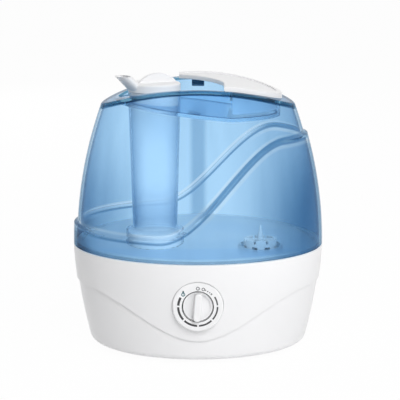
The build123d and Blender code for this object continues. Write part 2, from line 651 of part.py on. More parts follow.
ROTOR_LOW_Z = FAN_Z + FAN_PLATE + FAN_TIP_GAP
ROTOR_TOP_Z = FAN_TOP_Z - FAN_PLATE
ROTOR_MIDDLE_Z = (ROTOR_LOW_Z + ROTOR_TOP_Z) / 2
BLADE_REACH = FAN_BORE_RADIUS - FAN_TIP_GAP
BLADE_CHORD = (ROTOR_TOP_Z - ROTOR_LOW_Z - FAN_BLADE_THICKNESS) / sin(radians(FAN_BLADE_PITCH))
with BuildPart() as fan_rotor:
    add(tube(FAN_X, FAN_Y, FAN_HUB_RADIUS - SLIP, FAN_BEARING_RADIUS + FAN_TIP_GAP, ROTOR_LOW_Z, ROTOR_TOP_Z))
    add(tube(FAN_X, FAN_Y, FAN_HUB_RADIUS - SLIP, 0, ROTOR_TOP_Z - FAN_PLATE, ROTOR_TOP_Z))
    for blade in range(FAN_BLADES):
        spoke = Plane((FAN_X, FAN_Y, ROTOR_MIDDLE_Z)).rotated((0, 0, 360 / FAN_BLADES * blade))
        root = Plane(spoke.origin + spoke.x_dir * (FAN_HUB_RADIUS - OVERCUT), spoke.y_dir, spoke.x_dir)
        with BuildSketch(root):
            Rectangle(BLADE_CHORD, FAN_BLADE_THICKNESS, rotation=FAN_BLADE_PITCH)
        extrude(amount=BLADE_REACH - FAN_HUB_RADIUS + OVERCUT)
    add(tube(FAN_X, FAN_Y, BLADE_REACH, 0, FAN_Z, FAN_TOP_Z), mode=Mode.INTERSECT)
    add(
        tube(FAN_X, FAN_Y, FAN_SHAFT_RADIUS + SEAM, 0, FAN_Z, ROTOR_TOP_Z - FAN_PLATE / 2),
        mode=Mode.SUBTRACT,
    )

with BuildPart() as fan_shaft:
    add(tube(FAN_X, FAN_Y, FAN_SHAFT_RADIUS, 0, FAN_Z + FAN_PLATE / 2 + RUNNING, ROTOR_TOP_Z - FAN_PLATE / 2))

DUCT_BEND_Z = BASIN_Z - TRAY_WALL - SLIP


def duct_block(inset):
    """Solid form of the duct: it leans back from the fan, then rises beside the basin."""
    with BuildPart() as form:
        with BuildSketch(Plane.XY.offset(FAN_TOP_Z + SEAM)):
            with Locations((FAN_X, FAN_Y)):
                RectangleRounded(FAN_SIZE - 2 * inset, FAN_SIZE - 2 * inset, FAN_POST_RADIUS)
        with BuildSketch(Plane.XY.offset(DUCT_BEND_Z)):
            with Locations((FAN_X, DUCT_Y)):
                grown = 2 * (DUCT_WALL - inset)
                RectangleRounded(DUCT_WIDTH + grown, DUCT_DEPTH + grown, FAN_POST_RADIUS)
        loft()
        extrude(form.faces().sort_by(Axis.Z)[-1], amount=TRAY_SEAT_Z - SEAM - DUCT_BEND_Z)
    return form.part


with BuildPart() as air_duct:
    add(duct_block(0))
    add(duct_block(DUCT_WALL), mode=Mode.SUBTRACT)

# Driver board on the cover, with its heat sink and capacitors
with BuildPart() as driver_board:
    with BuildSketch(Plane.XY.offset(BOARD_Z)):
        with Locations((DRIVER_X, DRIVER_Y)):
            RectangleRounded(DRIVER_WIDTH, DRIVER_DEPTH, STANDOFF_RADIUS)
    extrude(amount=BOARD_THICKNESS)

SINK_X = DRIVER_X - DRIVER_WIDTH / 4
with BuildPart() as heat_sink:
    with BuildSketch(Plane.XY.offset(BOARD_TOP_Z)):
        with Locations((SINK_X, DRIVER_Y)):
            Rectangle(SINK_WIDTH, 2 * SINK_FIN_THICKNESS)
            with GridLocations((SINK_WIDTH - SINK_FIN_THICKNESS) / (SINK_FINS - 1), 0, SINK_FINS, 1):
                Rectangle(SINK_FIN_THICKNESS, SINK_DEPTH)
    extrude(amount=SINK_HEIGHT)

with BuildPart() as filter_capacitors:
    with BuildSketch(Plane.XY.offset(BOARD_TOP_Z)):
        with Locations((DRIVER_X + DRIVER_WIDTH / 4, DRIVER_Y)):
            with GridLocations(0, 3 * CAPACITOR_RADIUS, 1, 2):
                Circle(CAPACITOR_RADIUS)
    extrude(amount=CAPACITOR_HEIGHT)
    chamfer(filter_capacitors.edges().group_by(Axis.Z)[-1], CAPACITOR_RADIUS / 6)

with BuildPart() as reed_switch:
    with BuildSketch(Plane.YZ.offset(FLOAT_X - REED_LENGTH / 2)):
        with Locations((FLOAT_Y, BASIN_Z - TRAY_WALL - REED_RADIUS - SEAM)):
            Circle(REED_RADIUS)
    extrude(amount=REED_LENGTH)
    fillet(reed_switch.edges(), REED_RADIUS / 2)

# Power inlet low on the back
INLET_HALF = base_half_width(INLET_Z) - APRON_STEP
INLET_Y = half_sizes(INLET_HALF)[1] * sqrt(1 - (INLET_X / INLET_HALF) ** 2) + INLET_PROUD
with BuildPart() as power_inlet:
    with BuildSketch(side_plane(INLET_X, INLET_Y)):
        with Locations((0, INLET_Z)):
            Circle(INLET_RADIUS)
    extrude(amount=INLET_LENGTH)
    chamfer(power_inlet.edges().sort_by(Axis.Y)[-1], INLET_PROUD / 2)
    with BuildSketch(side_plane(INLET_X, INLET_Y)):
        with Locations((0, INLET_Z)):
            Circle(INLET_BORE)
            Circle(INLET_PIN, mode=Mode.SUBTRACT)
    extrude(amount=INLET_BORE_DEPTH, mode=Mode.SUBTRACT)

# Dial on the front: bezel cup, control board, potentiometer and its shaft, knob
with BuildPart() as dial_bezel:
    with BuildSketch(front_plane(BEZEL_BACK_Y)):
        Circle(BEZEL_RADIUS)
    extrude(amount=BEZEL_DEPTH)
    fillet(dial_bezel.edges().sort_by(Axis.Y)[0], BEZEL_ROUNDING)
    with BuildSketch(front_plane(BEZEL_BACK_Y + BEZEL_FLANGE)):
        Circle(BEZEL_RADIUS + BEZEL_WALL)
    extrude(amount=BEZEL_FLANGE)
    with BuildSketch(front_plane(BEZEL_BACK_Y + BEZEL_FLANGE)):
        Circle(BEZEL_RADIUS - BEZEL_WALL)
    extrude(amount=BEZEL_DEPTH + BEZEL_FLANGE - BEZEL_FACE, mode=Mode.SUBTRACT)
    with BuildSketch(front_plane(DIAL_FACE_Y)):
        Circle(KNOB_RADIUS + KNOB_GAP)
    extrude(amount=-BEZEL_FACE, mode=Mode.SUBTRACT)
    with BuildSketch(front_plane(BEZEL_BACK_Y + BEZEL_FLANGE)):
        with GridLocations(2 * CONTROL_POST_X, 0, 2, 1):
            Circle(CONTROL_POST_RADIUS)
        Circle(BEZEL_RADIUS + BEZEL_WALL, mode=Mode.INTERSECT)
    extrude(amount=BEZEL_FLANGE + BEZEL_WALL)
    with BuildSketch(front_plane(BEZEL_BACK_Y + BEZEL_FLANGE)):
        with GridLocations(2 * CONTROL_POST_X, 0, 2, 1):
            Circle(CONTROL_POST_RADIUS)
    extrude(amount=-POT_DEPTH)
    with BuildSketch(front_plane(DIAL_FACE_Y + BEZEL_FACE)):
        with Locations((0, LEDGE_Z - SLIP - DIAL_Z)):
            Rectangle(4 * BEZEL_RADIUS, 2 * BEZEL_RADIUS, align=(Align.CENTER, Align.MIN))
    extrude(amount=-RIM_DEPTH / 4, mode=Mode.SUBTRACT)

BOARD_FRONT_Y = BEZEL_BACK_Y + BEZEL_FLANGE + POT_DEPTH
POT_FRONT_Y = BOARD_FRONT_Y - POT_DEPTH
with BuildPart() as control_board:
    with BuildSketch(front_plane(BOARD_FRONT_Y + BOARD_THICKNESS)):
        RectangleRounded(CONTROL_WIDTH, CONTROL_HEIGHT, STANDOFF_RADIUS)
    extrude(amount=BOARD_THICKNESS)

KNOB_FACE_Y = DIAL_FACE_Y + KNOB_SETBACK
HUB_BACK_Y = KNOB_FACE_Y + KNOB_DISC + HUB_LENGTH
with BuildPart() as potentiometer:
    with BuildSketch(front_plane(BOARD_FRONT_Y)):
        RectangleRounded(POT_SIZE, POT_SIZE, BOARD_THICKNESS)
    extrude(amount=POT_DEPTH)
    with BuildSketch(front_plane(POT_FRONT_Y)):
        Circle(POT_BUSHING_RADIUS)
    extrude(amount=min(POT_BUSHING, POT_FRONT_Y - HUB_BACK_Y - SLIP))
    with BuildSketch(front_plane(BOARD_FRONT_Y - POT_DEPTH / 4)):
        Circle(POT_SHAFT_RADIUS + RUNNING)
    extrude(amount=POT_DEPTH + POT_BUSHING, mode=Mode.SUBTRACT)

with BuildPart() as control_shaft:
    with BuildSketch(front_plane(BOARD_FRONT_Y - POT_DEPTH / 4 - RUNNING)):
        Circle(POT_SHAFT_RADIUS)
    extrude(amount=BOARD_FRONT_Y - POT_DEPTH / 4 - RUNNING - (KNOB_FACE_Y + KNOB_DISC))

with BuildPart() as dial_knob:
    with BuildSketch(front_plane(KNOB_FACE_Y + KNOB_DISC)):
        Circle(KNOB_RADIUS)
    extrude(amount=KNOB_DISC)
    with BuildSketch(front_plane(KNOB_FACE_Y)):
        Circle(KNOB_RADIUS - KNOB_DISH)
    extrude(amount=-KNOB_DISH, taper=-KNOB_DISH_TAPER, mode=Mode.SUBTRACT)
    with BuildSketch(front_plane(KNOB_FACE_Y + KNOB_DISC / 2)):
        SlotOverall(GRIP_LENGTH, GRIP_WIDTH, rotation=90 - GRIP_LEAN)
    extrude(amount=KNOB_DISC / 2 + KNOB_SETBACK + GRIP_PROUD)
    fillet(dial_knob.faces().sort_by(Axis.Y)[0].edges(), GRIP_WIDTH / 5)
    with BuildSketch(front_plane(HUB_BACK_Y)):
        Circle(HUB_RADIUS)
    extrude(amount=HUB_LENGTH)
    with BuildSketch(front_plane(HUB_BACK_Y)):
        Circle(POT_SHAFT_RADIUS + SEAM)
    extrude(amount=HUB_LENGTH, mode=Mode.SUBTRACT)

# Float on its post, with the magnet that works the reed switch
FLOAT_BORE = FLOAT_POST_RADIUS + FLOAT_PLAY
with BuildPart() as float_ring:
    add(tube(FLOAT_X, FLOAT_Y, FLOAT_RADIUS, FLOAT_BORE, FLOAT_Z, FLOAT_Z + FLOAT_HEIGHT))
    rims = float_ring.edges().filter_by(GeomType.CIRCLE)
    chamfer(rims.filter_by(lambda e: e.radius > MAGNET_RADIUS), FLOAT_RADIUS / 10)
    add(
        tube(FLOAT_X, FLOAT_Y, MAGNET_RADIUS + SEAM, 0, FLOAT_Z, FLOAT_Z + MAGNET_HEIGHT),
        mode=Mode.SUBTRACT,
    )

with BuildPart() as float_magnet:
    add(tube(FLOAT_X, FLOAT_Y, MAGNET_RADIUS, FLOAT_BORE, FLOAT_Z, FLOAT_Z + MAGNET_HEIGHT - SEAM))

with BuildPart() as float_clip:
    add(tube(FLOAT_X, FLOAT_Y, FLOAT_CLIP_RADIUS, 0, CLIP_Z, CLIP_Z + FLOAT_CLIP_HEIGHT))
    add(
        tube(FLOAT_X, FLOAT_Y, FLOAT_POST_RADIUS + SEAM, 0, CLIP_Z, CLIP_Z + FLOAT_CLIP_HEIGHT / 2 + SEAM),
        mode=Mode.SUBTRACT,
    )

# Tank shell: a tapering oval with a wave-edged lower wall, an arched top and a finger well
TOP_HALF = top_half_width()
WELL_HALF = TOP_HALF - WELL_RING
WELL_Z = CROWN_Z - WELL_DEPTH


def wave_wall(inset):
    """The proud lower wall, up to the wave, inset from the outside of the tank."""
    low = RIM_Z + WAVE_LOW - inset
    high = RIM_Z + WAVE_HIGH - inset
    start = WAVE_MIDDLE_X - WAVE_SPAN / 2
    end = WAVE_MIDDLE_X + WAVE_SPAN / 2
    foot = RIM_Z + PARTING_GAP - inset
    body = oval_loft(levels(foot, CROWN_Z, 5), lambda z: tank_half_width(z) + WAVE_STEP - inset)
    with BuildPart() as form:
        add(body)
        with BuildSketch(Plane.XZ):
            with BuildLine():
                wave(low, high, start, end)
                Polyline(
                    (end, high),
                    (RIM_WIDTH, high),
                    (RIM_WIDTH, CROWN_Z + OVERCUT),
                    (-RIM_WIDTH, CROWN_Z + OVERCUT),
                    (-RIM_WIDTH, low),
                    (start, low),
                )
            make_face()
        extrude(amount=RIM_DEPTH, both=True, mode=Mode.SUBTRACT)
        tops = form.faces().filter_by(lambda f: f.normal_at(f.center()).Z > 0.3)
        chamfer(tops.edges().filter_by(GeomType.LINE, reverse=True), WAVE_SLOPE_OUT, WAVE_SLOPE_UP)
    return form.part


def finger_well(margin):
    """Hollow in the tank top, with a floor that falls from left to right, grown by a margin."""
    low = WELL_Z - margin
    rise = (WELL_KNEE_X + RIM_WIDTH / 2) * tan(radians(WELL_SLOPE))
    top = CROWN_Z + OVERCUT
    with BuildPart() as form:
        with BuildSketch(Plane.XZ):
            with BuildLine():
                Polyline(
                    (-RIM_WIDTH / 2, low + rise),
                    (WELL_KNEE_X, low),
                    (RIM_WIDTH / 2, low),
                    (RIM_WIDTH / 2, top),
                    (-RIM_WIDTH / 2, top),
                    close=True,
                )
            make_face()
        extrude(amount=RIM_DEPTH / 2, both=True)
        add(oval_prism(WELL_HALF + margin, low - OVERCUT, top + OVERCUT), mode=Mode.INTERSECT)
    return form.part


def tank_form(inset):
    """The tank as a solid block, inset from its outside."""
    foot = RIM_Z + PARTING_GAP - inset
    upper = oval_loft(levels(foot, CROWN_Z + OVERCUT, 5), lambda z: tank_half_width(z) - inset)
    lower = wave_wall(inset)
    well = finger_well(inset)
    with BuildPart() as form:
        add(upper)
        with Locations((0, 0, ARCH_AXIS_Z)):
            Cylinder(ARCH_RADIUS - inset, 2 * RIM_DEPTH, rotation=(90, 0, 0), mode=Mode.INTERSECT)
        fillet(form.faces().filter_by(GeomType.CYLINDER).edges(), max(ARCH_EDGE_RADIUS - inset, SLIP))
        add(lower)
        add(well, mode=Mode.SUBTRACT)
    return form.part


def chimney_radius(z):
    """Outer radius of the chimney at a height."""
    low = FLOOR_Z + CHIMNEY_FOOT_RISE
    return CHIMNEY_LOW_RADIUS + (CHIMNEY_TOP_RADIUS - CHIMNEY_LOW_RADIUS) * (z - low) / (CHIMNEY_TOP_Z - low)


DECK_AT_CHIMNEY_Z = WELL_Z + (WELL_KNEE_X - MIST_X) * tan(radians(WELL_SLOPE))
LATCH_Y = half_sizes(WELL_HALF)[1]
with BuildPart() as tank_shell:
    add(tank_form(0))
    add(tank_form(TANK_WALL), mode=Mode.SUBTRACT)
    add(
        tube(MIST_X, 0, chimney_radius(DECK_AT_CHIMNEY_Z) + SEAM, 0, WELL_Z - TANK_WALL, CROWN_Z),
        mode=Mode.SUBTRACT,
    )
    with BuildSketch(side_plane(0, LATCH_Y + TANK_WALL / 2)):
        with Locations((0, CROWN_Z - LATCH_DROP - LATCH_HEIGHT / 2)):
            RectangleRounded(LATCH_WIDTH, LATCH_HEIGHT, LATCH_HEIGHT / 6)
    extrude(amount=LATCH_DEPTH + TANK_WALL / 2)

# Tank floor: sloping plate, spigot that locates the tank in the rim, filler neck
SPIGOT_HALF = base_half_width(RIM_Z - SPIGOT_DEPTH) - APRON_STEP - HOUSING_WALL - SPIGOT_PLAY
FLANGE_HALF = tank_half_width(RIM_Z + FLOOR_RISE) + WAVE_STEP - TANK_WALL - SEAM
FLANGE_Z = RIM_Z + PARTING_GAP
FOOT_BORE = MIST_TUBE_RADIUS + TUBE_PLAY
with BuildPart() as floor_plate:
    with BuildSketch(FLOOR_PLANE):
        Rectangle(2 * RIM_WIDTH, 2 * RIM_DEPTH)
    extrude(amount=-FLOOR_WALL)
    add(oval_prism(FLANGE_HALF, 0, CROWN_Z), mode=Mode.INTERSECT)
    add(oval_prism(RIM_WIDTH, 0, FLANGE_Z), mode=Mode.SUBTRACT)

with BuildPart() as tank_floor:
    with BuildSketch(FLOOR_PLANE):
        Rectangle(2 * RIM_WIDTH, 2 * RIM_DEPTH)
    extrude(amount=-FLOOR_WALL)
    add(oval_prism(SPIGOT_HALF, 0, CROWN_Z), mode=Mode.INTERSECT)
    add(floor_plate.part)
    with BuildSketch(Plane.XY.offset(RIM_Z - SPIGOT_DEPTH)):
        Ellipse(*half_sizes(SPIGOT_HALF))
        Ellipse(*half_sizes(SPIGOT_HALF - SPIGOT_WALL), mode=Mode.SUBTRACT)
    extrude(amount=FLANGE_Z - RIM_Z + SPIGOT_DEPTH)
    with BuildSketch(Plane.XY.offset(FLANGE_Z)):
        Ellipse(*half_sizes(FLANGE_HALF))
        Ellipse(*half_sizes(SPIGOT_HALF - SPIGOT_WALL), mode=Mode.SUBTRACT)
    extrude(amount=SPIGOT_FLANGE)
    add(tube(VALVE_X, VALVE_Y, NECK_RADIUS, 0, NECK_Z, VALVE_FLOOR_Z - FLOOR_WALL / 2))
    add(tube(VALVE_X, VALVE_Y, NECK_RADIUS - NECK_WALL, 0, NECK_Z, CROWN_Z), mode=Mode.SUBTRACT)
    add(tube(MIST_X, 0, FOOT_BORE, 0, BASIN_Z, CROWN_Z), mode=Mode.SUBTRACT)

# Chimney that carries the mist up through the tank
FOOT_TOP_Z = FLOOR_Z + CHIMNEY_FOOT_RISE
SOCKET_Z = CHIMNEY_TOP_Z - SOCKET_DEPTH
SOCKET_RADIUS = CHIMNEY_TOP_RADIUS - CHIMNEY_WALL
with BuildPart() as mist_chimney:
    add(turned(MIST_X, 0, [
        (FOOT_BORE, RIM_Z - SPIGOT_DEPTH),
        (FOOT_BORE + CHIMNEY_WALL, RIM_Z - SPIGOT_DEPTH),
        (FOOT_BORE + CHIMNEY_WALL, FOOT_TOP_Z),
        (chimney_radius(FOOT_TOP_Z + CHIMNEY_WALL), FOOT_TOP_Z + CHIMNEY_WALL),
        (chimney_radius(SOCKET_Z), SOCKET_Z),
        (CHIMNEY_TOP_RADIUS, CHIMNEY_TOP_Z),
        (SOCKET_RADIUS, CHIMNEY_TOP_Z),
        (SOCKET_RADIUS, SOCKET_Z),
        (chimney_radius(SOCKET_Z) - CHIMNEY_WALL, SOCKET_Z),
        (chimney_radius(FOOT_TOP_Z) - CHIMNEY_WALL, FOOT_TOP_Z),
        (FOOT_BORE, FOOT_TOP_Z - CHIMNEY_WALL),
    ]))
    split(bisect_by=FLOOR_PLANE, keep=Keep.TOP)

# Handle: a plate that follows the arched top and sweeps clear of the turning spout


def arch_slab(low, high):
    """Curved slab between two heights above the arched top."""
    with BuildPart() as form:
        with BuildSketch(Plane.XZ):
            with Locations((0, ARCH_AXIS_Z)):
                Circle(ARCH_RADIUS + high)
                Circle(ARCH_RADIUS + low, mode=Mode.SUBTRACT)
        extrude(amount=RIM_DEPTH / 2, both=True)
    return form.part


def handle_prism(margin):
    """Upright block with the plan of the handle, inset by a margin."""
    front_x = HANDLE_FRONT_X + margin
    tail_x = HANDLE_TAIL_X + margin
    with BuildPart() as form:
        with BuildSketch(Plane.XY.offset(WELL_Z)):
            Ellipse(*half_sizes(TOP_HALF - HANDLE_MARGIN - margin))
            with BuildLine():
                Line((front_x, -RIM_DEPTH), (front_x, HANDLE_CORNER_Y))
                Bezier(
                    (front_x, HANDLE_CORNER_Y),
                    (front_x, margin),
                    (margin, HANDLE_TAIL_Y / 2 + margin),
                    (tail_x, HANDLE_TAIL_Y + margin),
                )
                Polyline(
                    (tail_x, HANDLE_TAIL_Y + margin),
                    (tail_x, RIM_DEPTH),
                    (-RIM_WIDTH, RIM_DEPTH),
                    (-RIM_WIDTH, -RIM_DEPTH),
                    (front_x, -RIM_DEPTH),
                )
            make_face(mode=Mode.SUBTRACT)
        extrude(amount=CROWN_Z - WELL_Z + RIM_WIDTH / 2)
    return form.part


SKIRT_Z = WELL_Z + SKIRT_LIFT
with BuildPart() as handle_skirt:
    add(oval_prism(WELL_HALF - SLIP, SKIRT_Z, CROWN_Z))
    add(
        oval_prism(WELL_HALF - SLIP - SKIRT_WALL, SKIRT_Z - OVERCUT, CROWN_Z + OVERCUT),
        mode=Mode.SUBTRACT,
    )
    add(arch_slab(SKIRT_Z - CROWN_Z - RIM_WIDTH / 4, SEAM + HANDLE_RECESS), mode=Mode.INTERSECT)
    split(bisect_by=Plane.YZ.offset(WELL_KNEE_X), keep=Keep.TOP)

with BuildPart() as handle_dish:
    add(handle_prism(HANDLE_RIM))
    add(arch_slab(HANDLE_THICKNESS - HANDLE_RECESS, HANDLE_THICKNESS + OVERCUT), mode=Mode.INTERSECT)

with BuildPart() as tank_handle:
    add(handle_prism(0))
    add(arch_slab(SEAM, HANDLE_THICKNESS), mode=Mode.INTERSECT)
    fillet(tank_handle.edges().filter_by(Axis.Y), HANDLE_RECESS)
    add(handle_dish.part, mode=Mode.SUBTRACT)
    add(handle_skirt.part)

# Cap on the filler neck, with its gasket and the cage that guides the valve
with BuildPart() as tank_cap:
    add(tube(VALVE_X, VALVE_Y, CAP_RADIUS, 0, CAP_Z, CAP_Z + CAP_HEIGHT))
    with BuildSketch(Plane.XY.offset(CAP_Z)):
        with Locations((VALVE_X, VALVE_Y)):
            with PolarLocations(CAP_RADIUS, CAP_RIBS):
                Circle(CAP_RIB_RADIUS)
    extrude(amount=CAP_HEIGHT)
    add(tube(VALVE_X, VALVE_Y, NECK_RADIUS + SLIP, 0, CAP_SEAT_Z, CAP_Z + CAP_HEIGHT), mode=Mode.SUBTRACT)
    add(tube(VALVE_X, VALVE_Y, CAP_PORT_RADIUS, 0, CAP_Z, CAP_SEAT_Z), mode=Mode.SUBTRACT)

with BuildPart() as cap_gasket:
    add(tube(VALVE_X, VALVE_Y, NECK_RADIUS, NECK_RADIUS - NECK_WALL, CAP_SEAT_Z, NECK_Z - SEAM))

with BuildPart() as valve_cage:
    add(tube(VALVE_X, VALVE_Y, CAGE_RADIUS, CAGE_RADIUS - CAGE_WALL, CAP_SEAT_Z, CROWN_TOP_Z))
    with BuildSketch(Plane.XY.offset(CAP_SEAT_Z + CAGE_FOOT)):
        with Locations((VALVE_X, VALVE_Y)):
            with PolarLocations(CAGE_RADIUS, CAGE_SLOTS, start_angle=180 / CAGE_SLOTS):
                Rectangle(4 * CAGE_WALL, CAGE_SLOT_WIDTH)
    extrude(amount=GUIDE_Z - CROWN_BAND - CAP_SEAT_Z - CAGE_FOOT, mode=Mode.SUBTRACT)
    with BuildSketch(Plane.XY.offset(GUIDE_Z)):
        with Locations((VALVE_X, VALVE_Y)):
            with PolarLocations(CAGE_RADIUS, CAGE_SLOTS, start_angle=180 / CAGE_SLOTS):
                Rectangle(4 * CAGE_WALL, CAGE_SLOT_WIDTH / 2)
    extrude(amount=GUIDE_HEIGHT, mode=Mode.SUBTRACT)
    with BuildSketch(Plane.XY.offset(GUIDE_Z)):
        with Locations((VALVE_X, VALVE_Y)):
            with PolarLocations((CAGE_RADIUS - CAGE_WALL) / 2, GUIDE_SPOKES):
                Rectangle(CAGE_RADIUS - CAGE_WALL / 2, GUIDE_SPOKE_WIDTH)
            Circle(GUIDE_RADIUS)
            Circle(STEM_RADIUS + SLIP, mode=Mode.SUBTRACT)
    extrude(amount=GUIDE_HEIGHT - SLIP)

# Valve: pointed stem with a sealing plate, its rubber seal and the spring that shuts it
STEM_TOP_Z = CROWN_TOP_Z + STEM_RISE
with BuildPart() as valve_stem:
    add(turned(VALVE_X, VALVE_Y, [
        (0, SEAL_Z - STEM_TAIL),
        (STEM_RADIUS, SEAL_Z - STEM_TAIL),
        (STEM_RADIUS, PLATE_Z),
        (VALVE_SEAL_RADIUS, PLATE_Z),
        (VALVE_SEAL_RADIUS, SPRING_Z),
        (STEM_RADIUS, SPRING_Z),
        (STEM_RADIUS, STEM_TOP_Z - STEM_POINT),
        (STEM_RADIUS / 4, STEM_TOP_Z),
        (0, STEM_TOP_Z),
    ]))

with BuildPart() as valve_seal:
    add(tube(VALVE_X, VALVE_Y, VALVE_SEAL_RADIUS, STEM_RADIUS + SEAM, SEAL_Z, PLATE_Z))


def spring_point(turn):
    """Point on the middle line of the spring after a number of turns."""
    low = SPRING_Z + SPRING_WIRE / 2 + SEAM
    high = GUIDE_Z - SPRING_WIRE / 2 - SEAM
    x = VALVE_X + SPRING_RADIUS * cos(2 * pi * turn)
    y = VALVE_Y + SPRING_RADIUS * sin(2 * pi * turn)
    return Vector(x, y, low + (high - low) * turn / SPRING_TURNS)


with BuildPart() as valve_spring:
    with BuildLine() as coil:
        for half_turn in range(2 * SPRING_TURNS):
            start_turn = half_turn / 2
            ThreePointArc(
                spring_point(start_turn),
                spring_point(start_turn + 0.25),
                spring_point(start_turn + 0.5),
            )
    with BuildSketch(Plane(coil.line @ 0, z_dir=coil.line % 0)):
        Circle(SPRING_WIRE / 2)
    sweep()

SPRING_PITCH = spring_point(1).Z - spring_point(0).Z
print("least gap between turns of the spring:", round(SPRING_PITCH - SPRING_WIRE, 3))

# Nozzle that turns on the chimney: plug, disc, leaning spout and a half-moon fin
NOZZLE_TOP_Z = NOZZLE_Z + NOZZLE_HEIGHT
PLUG_RADIUS = SOCKET_RADIUS - SLIP
TURN_X = cos(radians(NOZZLE_TURN))
TURN_Y = sin(radians(NOZZLE_TURN))
SPOUT_LEAN = (-TURN_X, -TURN_Y, 1)
FIN_PLANE = Plane(origin=(MIST_X, 0, NOZZLE_TOP_Z), x_dir=(TURN_X, TURN_Y, 0), z_dir=(TURN_Y, -TURN_X, 0))


def spout_block(wall, rise):
    """Leaning oval block of the spout, inset by a wall."""
    with BuildPart() as form:
        with BuildSketch(Plane.XY.offset(NOZZLE_Z)):
            with Locations((MIST_X - SPOUT_ROOT * TURN_X, -SPOUT_ROOT * TURN_Y)):
                Ellipse(SPOUT_HALF_WIDTH - wall, SPOUT_HALF_DEPTH - wall, rotation=NOZZLE_TURN)
        extrude(amount=rise * sqrt(2), dir=SPOUT_LEAN)
    return form.part


with BuildPart() as mist_nozzle:
    add(tube(MIST_X, 0, CHIMNEY_TOP_RADIUS, 0, NOZZLE_Z, NOZZLE_TOP_Z))
    fillet(mist_nozzle.edges().group_by(Axis.Z)[-1], NOZZLE_ROUNDING)
    add(tube(MIST_X, 0, PLUG_RADIUS, 0, NOZZLE_Z - NOZZLE_PLUG, NOZZLE_Z))
    with BuildSketch(FIN_PLANE):
        with BuildLine():
            ThreePointArc((-FIN_LEFT, 0), ((FIN_RIGHT - FIN_LEFT) / 2, FIN_RISE), (FIN_RIGHT, 0))
            Polyline(
                (FIN_RIGHT, 0),
                (FIN_RIGHT, -NOZZLE_WALL / 2),
                (-FIN_LEFT, -NOZZLE_WALL / 2),
                (-FIN_LEFT, 0),
            )
        make_face()
    extrude(amount=FIN_THICKNESS / 2, both=True)
    add(spout_block(0, SPOUT_RISE))
    add(
        tube(MIST_X, 0, PLUG_RADIUS - NOZZLE_WALL, 0, NOZZLE_Z - NOZZLE_PLUG, NOZZLE_TOP_Z - NOZZLE_WALL),
        mode=Mode.SUBTRACT,
    )
    add(spout_block(SPOUT_WALL, SPOUT_RISE + OVERCUT), mode=Mode.SUBTRACT)

for piece, name in [
    (base_housing, "base_housing"),
    (bottom_cover, "bottom_cover"),
    (rubber_feet, "rubber_feet"),
    (cover_screws, "cover_screws"),
    (water_tray, "water_tray"),
    (sump_cup, "sump_cup"),
    (mist_tube, "mist_tube"),
    (transducer_disc, "transducer_disc"),
    (transducer_seal, "transducer_seal"),
    (transducer_clamp, "transducer_clamp"),
    (clamp_screws, "clamp_screws"),
    (fan_frame, "fan_frame"),
    (fan_rotor, "fan_rotor"),
    (fan_shaft, "fan_shaft"),
    (air_duct, "air_duct"),
    (driver_board, "driver_board"),
    (heat_sink, "heat_sink"),
    (filter_capacitors, "filter_capacitors"),
    (reed_switch, "reed_switch"),
    (power_inlet, "power_inlet"),
    (dial_bezel, "dial_bezel"),
    (control_board, "control_board"),
    (potentiometer, "potentiometer"),
    (control_shaft, "control_shaft"),
    (dial_knob, "dial_knob"),
    (float_ring, "float_ring"),
    (float_magnet, "float_magnet"),
    (float_clip, "float_clip"),
    (tank_shell, "tank_shell"),
    (tank_floor, "tank_floor"),
    (mist_chimney, "mist_chimney"),
    (tank_handle, "tank_handle"),
    (tank_cap, "tank_cap"),
    (cap_gasket, "cap_gasket"),
    (valve_cage, "valve_cage"),
    (valve_stem, "valve_stem"),
    (valve_seal, "valve_seal"),
    (valve_spring, "valve_spring"),
    (mist_nozzle, "mist_nozzle"),
]:
    write(piece, name)
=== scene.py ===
import json
from math import cos, pi, radians, sin

import bpy
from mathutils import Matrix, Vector


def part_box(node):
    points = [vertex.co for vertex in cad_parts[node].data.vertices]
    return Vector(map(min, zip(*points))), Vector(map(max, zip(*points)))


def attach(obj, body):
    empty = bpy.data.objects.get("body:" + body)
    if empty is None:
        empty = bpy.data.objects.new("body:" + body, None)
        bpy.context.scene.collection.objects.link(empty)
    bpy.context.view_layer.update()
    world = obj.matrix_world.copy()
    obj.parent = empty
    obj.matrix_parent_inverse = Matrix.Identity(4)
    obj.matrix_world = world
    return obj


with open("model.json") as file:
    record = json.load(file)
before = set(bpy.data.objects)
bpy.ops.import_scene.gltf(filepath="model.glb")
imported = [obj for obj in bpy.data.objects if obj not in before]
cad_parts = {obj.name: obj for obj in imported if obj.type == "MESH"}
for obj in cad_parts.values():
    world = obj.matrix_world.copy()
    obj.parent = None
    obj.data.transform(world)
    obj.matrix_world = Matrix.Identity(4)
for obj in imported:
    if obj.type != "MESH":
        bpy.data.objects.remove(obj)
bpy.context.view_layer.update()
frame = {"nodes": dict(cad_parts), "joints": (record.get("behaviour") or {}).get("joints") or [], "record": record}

MM = 0.001
QUARTER_TURN = pi / 2
FULL_CIRCLE = 360.0

# Camera that stands in front of the dial and looks a little down
CAMERA_PLACE = Vector((1.785, -1300, 382.4)) * MM
CAMERA_PITCH = 0.194
SENSOR = 36.0
FOCAL_SHARE = 3.747  # focal length as a share of the picture's width

